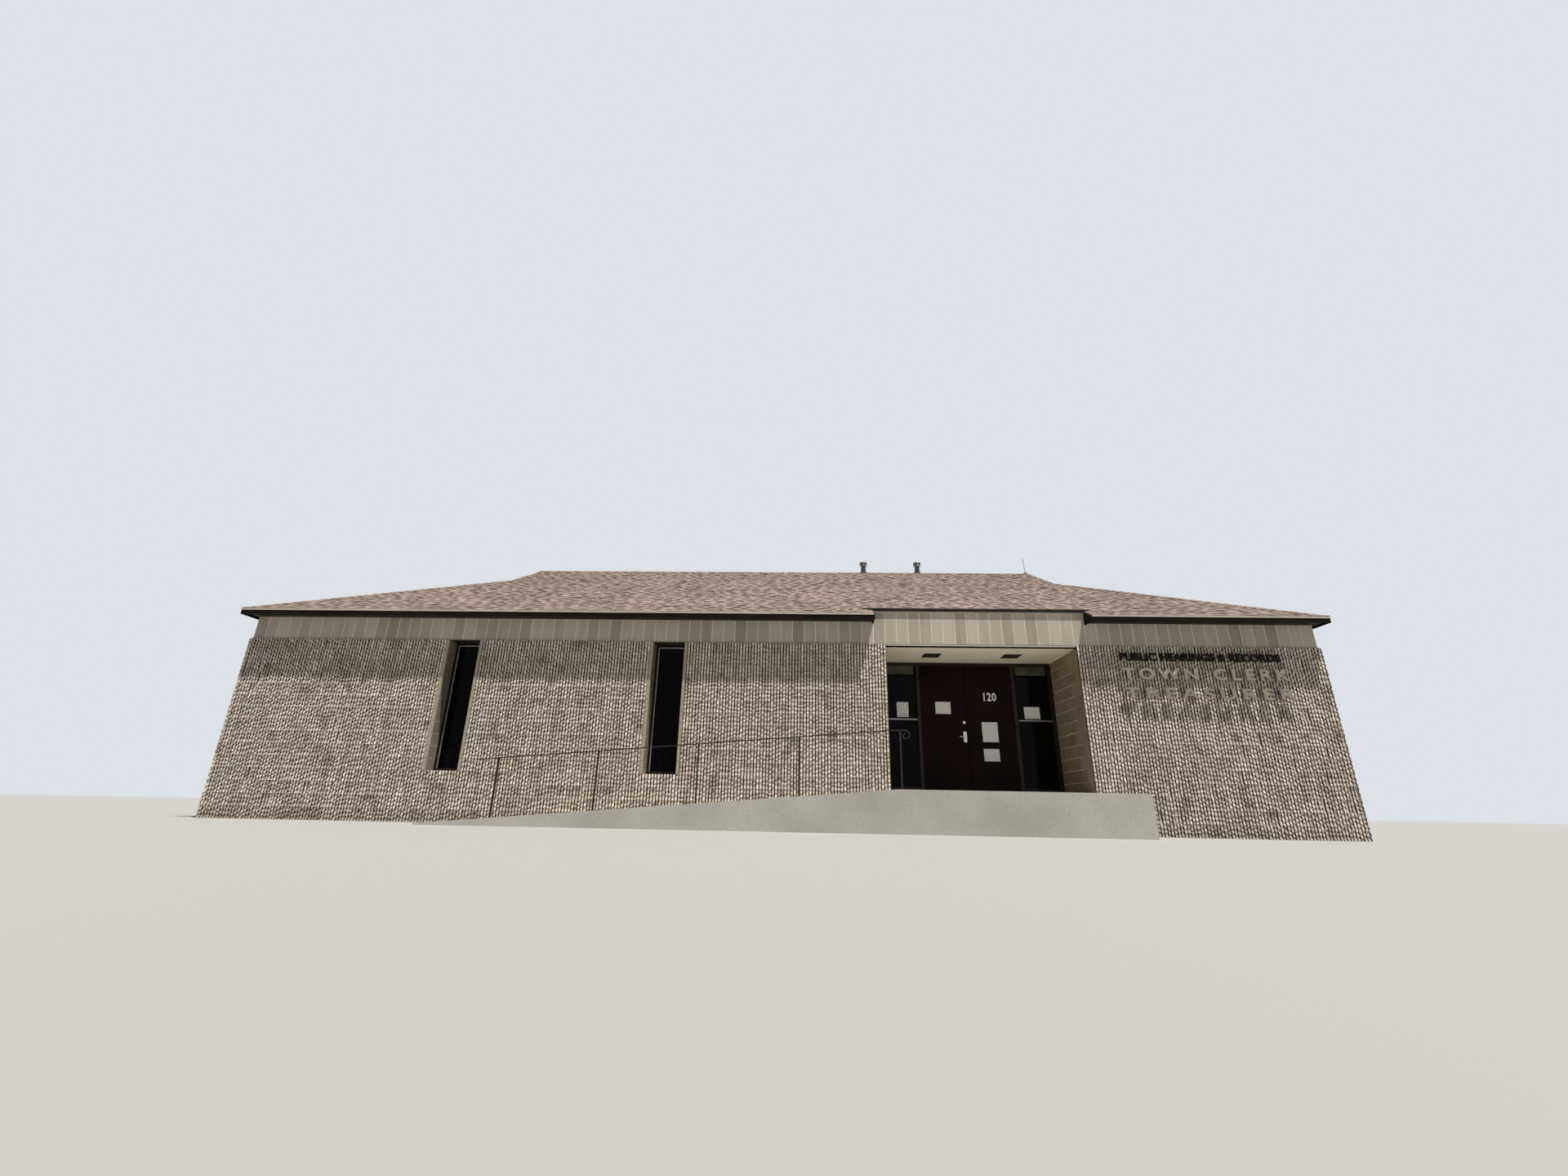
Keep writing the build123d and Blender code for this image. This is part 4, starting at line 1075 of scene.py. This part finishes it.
# Wall sign.
# Separate raised letters of cast metal, black above and tan below, standing off the ribs on studs.
# Their words are general office words in plain capitals.
dark_letters = clouded(
    "dark_letters", 20.0, (0.008, 0.006, 0.005), (0.016, 0.012, 0.010), Roughness=0.6, Specular_IOR_Level=0.1
)[0]
tan_metal = clouded(
    "tan_metal", 14.0, (0.25, 0.215, 0.165), (0.34, 0.295, 0.23), Roughness=0.42, Metallic=0.35
)[0]
LETTER_BACK = FACE - 0.080
stud = bar("stud", (-0.004, -0.090, -0.004), (0.004, 0, 0.004))
edit(stud)
choose(stud, "EDGE", lambda edge: edge.calc_length() > 0.05)
bpy.ops.mesh.bevel(offset=0.0024)
done()
stud = take_pattern(stud)
places = []
for name, words, low, high, material, spread, weight in (
    ("sign_row_top", "PUBLIC HEARINGS & RECORDS", (5.95, 2.775), (8.59, 2.915), dark_letters, 1.08, 0.034),
    ("sign_row_middle", "TOWN CLERK", (5.95, 2.46), (8.68, 2.655), tan_metal, 1.45, 0.030),
    ("sign_row_bottom", "TREASURER", (5.95, 2.14), (8.70, 2.325), tan_metal, 1.45, 0.030),
):
    near = (low[0], LETTER_BACK - 0.030, low[1])
    piece = lettering(name, words, near, (high[0], LETTER_BACK, high[1]), spread, weight)
    fix(piece, material)
    backs = [face for face in piece.data.polygons if face.normal.y > 0.9]
    backs.sort(key=lambda face: face.center.x)
    letter = []
    for face in backs + [None]:
        if letter and (face is None or face.center.x - letter[-1].center.x > 0.035):
            widest = max(letter, key=lambda one: one.area)
            places.append((0, moved(widest.center.x, FACE, widest.center.z), EVEN))
            letter = []
        letter.append(face)
lay("sign_studs", [stud], places, dark_letters)

# Flue vents and the rod on the ridge.
# Galvanized pipe with banded caps, weathered dark, and a thin rod stood in a foot screwed to the ridge.
flue_metal, tree, shader, patch, body = clouded(
    "flue_metal", 9.0, (0.055, 0.045, 0.038), (0.12, 0.105, 0.09), fine=60.0, Metallic=0.55
)
feed(tree, shader.inputs["Roughness"], ranged(tree, patch["Fine"], 0.0, 1.0, 0.35, 0.6))
dress(flue_metal, "flue_vents")
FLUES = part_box("flue_vents")
CAP_RADIUS = 0.090
for number, x in enumerate((FLUES[0].x + CAP_RADIUS, FLUES[1].x - CAP_RADIUS)):
    for level, (radius, z) in enumerate(((0.093, 6.300), (0.093, 6.235), (0.063, 6.13))):
        deselect()
        bpy.ops.mesh.primitive_torus_add(
            location=(x, RIDGE_Y, z),
            major_radius=radius,
            minor_radius=0.005,
            major_segments=40,
            minor_segments=8,
        )
        ring = bpy.context.object
        ring.name = "flue_%d_band_%d" % (number + 1, level + 1)
        bpy.ops.object.transform_apply()
        fix(ring, bare_metal if level < 2 else flue_metal)
rod_metal = clouded("rod_metal", 12.0, (0.30, 0.29, 0.27), (0.42, 0.41, 0.39), Roughness=0.5, Metallic=0.3)[0]
dress(rod_metal, "roof_rod")

# Floor, landing, ramp and ceiling.
# Concrete cast in place and drawn over with a broom while wet; the ceiling is plain painted board.
concrete, tree, shader, patch, body = clouded(
    "concrete", 1.3, (0.46, 0.44, 0.40), (0.56, 0.54, 0.50), fine=45.0, Roughness=0.85
)
lines = noise(tree, Vector=drawn_out(tree, here(tree)[0], (1, 90, 90)), Scale=3.0)
colour(tree, shader, over(tree, body, (0.22, 0.20, 0.17), 0.35, patch["Fine"], 0.6))
bumped(tree, shader, lines, 0.35, 0.002)
dress(concrete, "floor_slab", "entrance_landing", "access_ramp")
ceiling_paint = clouded("ceiling_board", 2.0, (0.55, 0.54, 0.50), (0.64, 0.63, 0.59), Roughness=0.85)[0]
dress(ceiling_paint, "ceiling")

# Ramp handrail.
# Steel tube bent and welded, its posts set in the concrete, painted black and scuffed in small spots.
rail_paint, tree, shader, patch, body = clouded(
    "rail_paint",
    6.0,
    (0.012, 0.011, 0.010),
    (0.028, 0.025, 0.022),
    fine=90.0,
    Roughness=0.6,
    Specular_IOR_Level=0.2,
)
colour(tree, shader, over(tree, body, (0.10, 0.08, 0.06), 0.6, patch["Fine"], 0.8))
dress(rail_paint, "ramp_handrail")

# Ground, backdrop and light.
# A plain pale floor under a plain pale sky, with one sun from the front right, high up, and soft fill.
deselect()
bpy.ops.mesh.primitive_plane_add(size=400, location=(0, 0, -0.001))
floor = bpy.context.object
floor.name = "floor"
floor_paint = new_material("floor_paint", Base_Color=(0.39, 0.388, 0.38), Roughness=0.9)[0]
floor.data.materials.append(floor_paint)
floor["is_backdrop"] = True
scene = bpy.context.scene
sun = bpy.data.objects.new("sun", bpy.data.lights.new("sun", "SUN"))
sun.data.energy = 4.9
sun.data.angle = math.radians(0.6)
sun.data.color = (1.0, 0.965, 0.90)
sun.rotation_euler = Vector((1.1, -1.0, 4.17)).to_track_quat("Z", "Y").to_euler()
scene.collection.objects.link(sun)
world = bpy.data.worlds.new("sky")
scene.world = world
world.use_nodes = True
sky = world.node_tree
sky.nodes.clear()
fill = add(sky, "ShaderNodeBackground", Color=(0.90, 0.95, 1.0), Strength=0.14)
backdrop = add(sky, "ShaderNodeBackground", Color=(0.72, 0.76, 0.80), Strength=1.0)
path = add(sky, "ShaderNodeLightPath")
seen = calc(sky, "MAXIMUM", path.outputs["Is Camera Ray"], path.outputs["Is Glossy Ray"])
seen = calc(sky, "MAXIMUM", seen, path.outputs["Is Transmission Ray"])
either = add(sky, "ShaderNodeMixShader")
for socket, source in zip(either.inputs, (seen, fill.outputs[0], backdrop.outputs[0])):
    feed(sky, socket, source)
add(sky, "ShaderNodeOutputWorld", Surface=either.outputs[0])
camera = bpy.data.objects.new("camera", bpy.data.cameras.new("camera"))
camera.data.lens = 14.51
camera.data.clip_end = 1000
scene.collection.objects.link(camera)
pan = Matrix.Rotation(math.radians(2.206), 4, "Z")
tilt = Matrix.Rotation(math.radians(109.198), 4, "X")
roll = Matrix.Rotation(math.radians(1.100), 4, "Z")
camera.matrix_world = moved(0.657, -14.8146, 0.323) @ pan @ tilt @ roll
scene.camera = camera
scene.view_settings.view_transform = "Standard"

low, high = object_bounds()
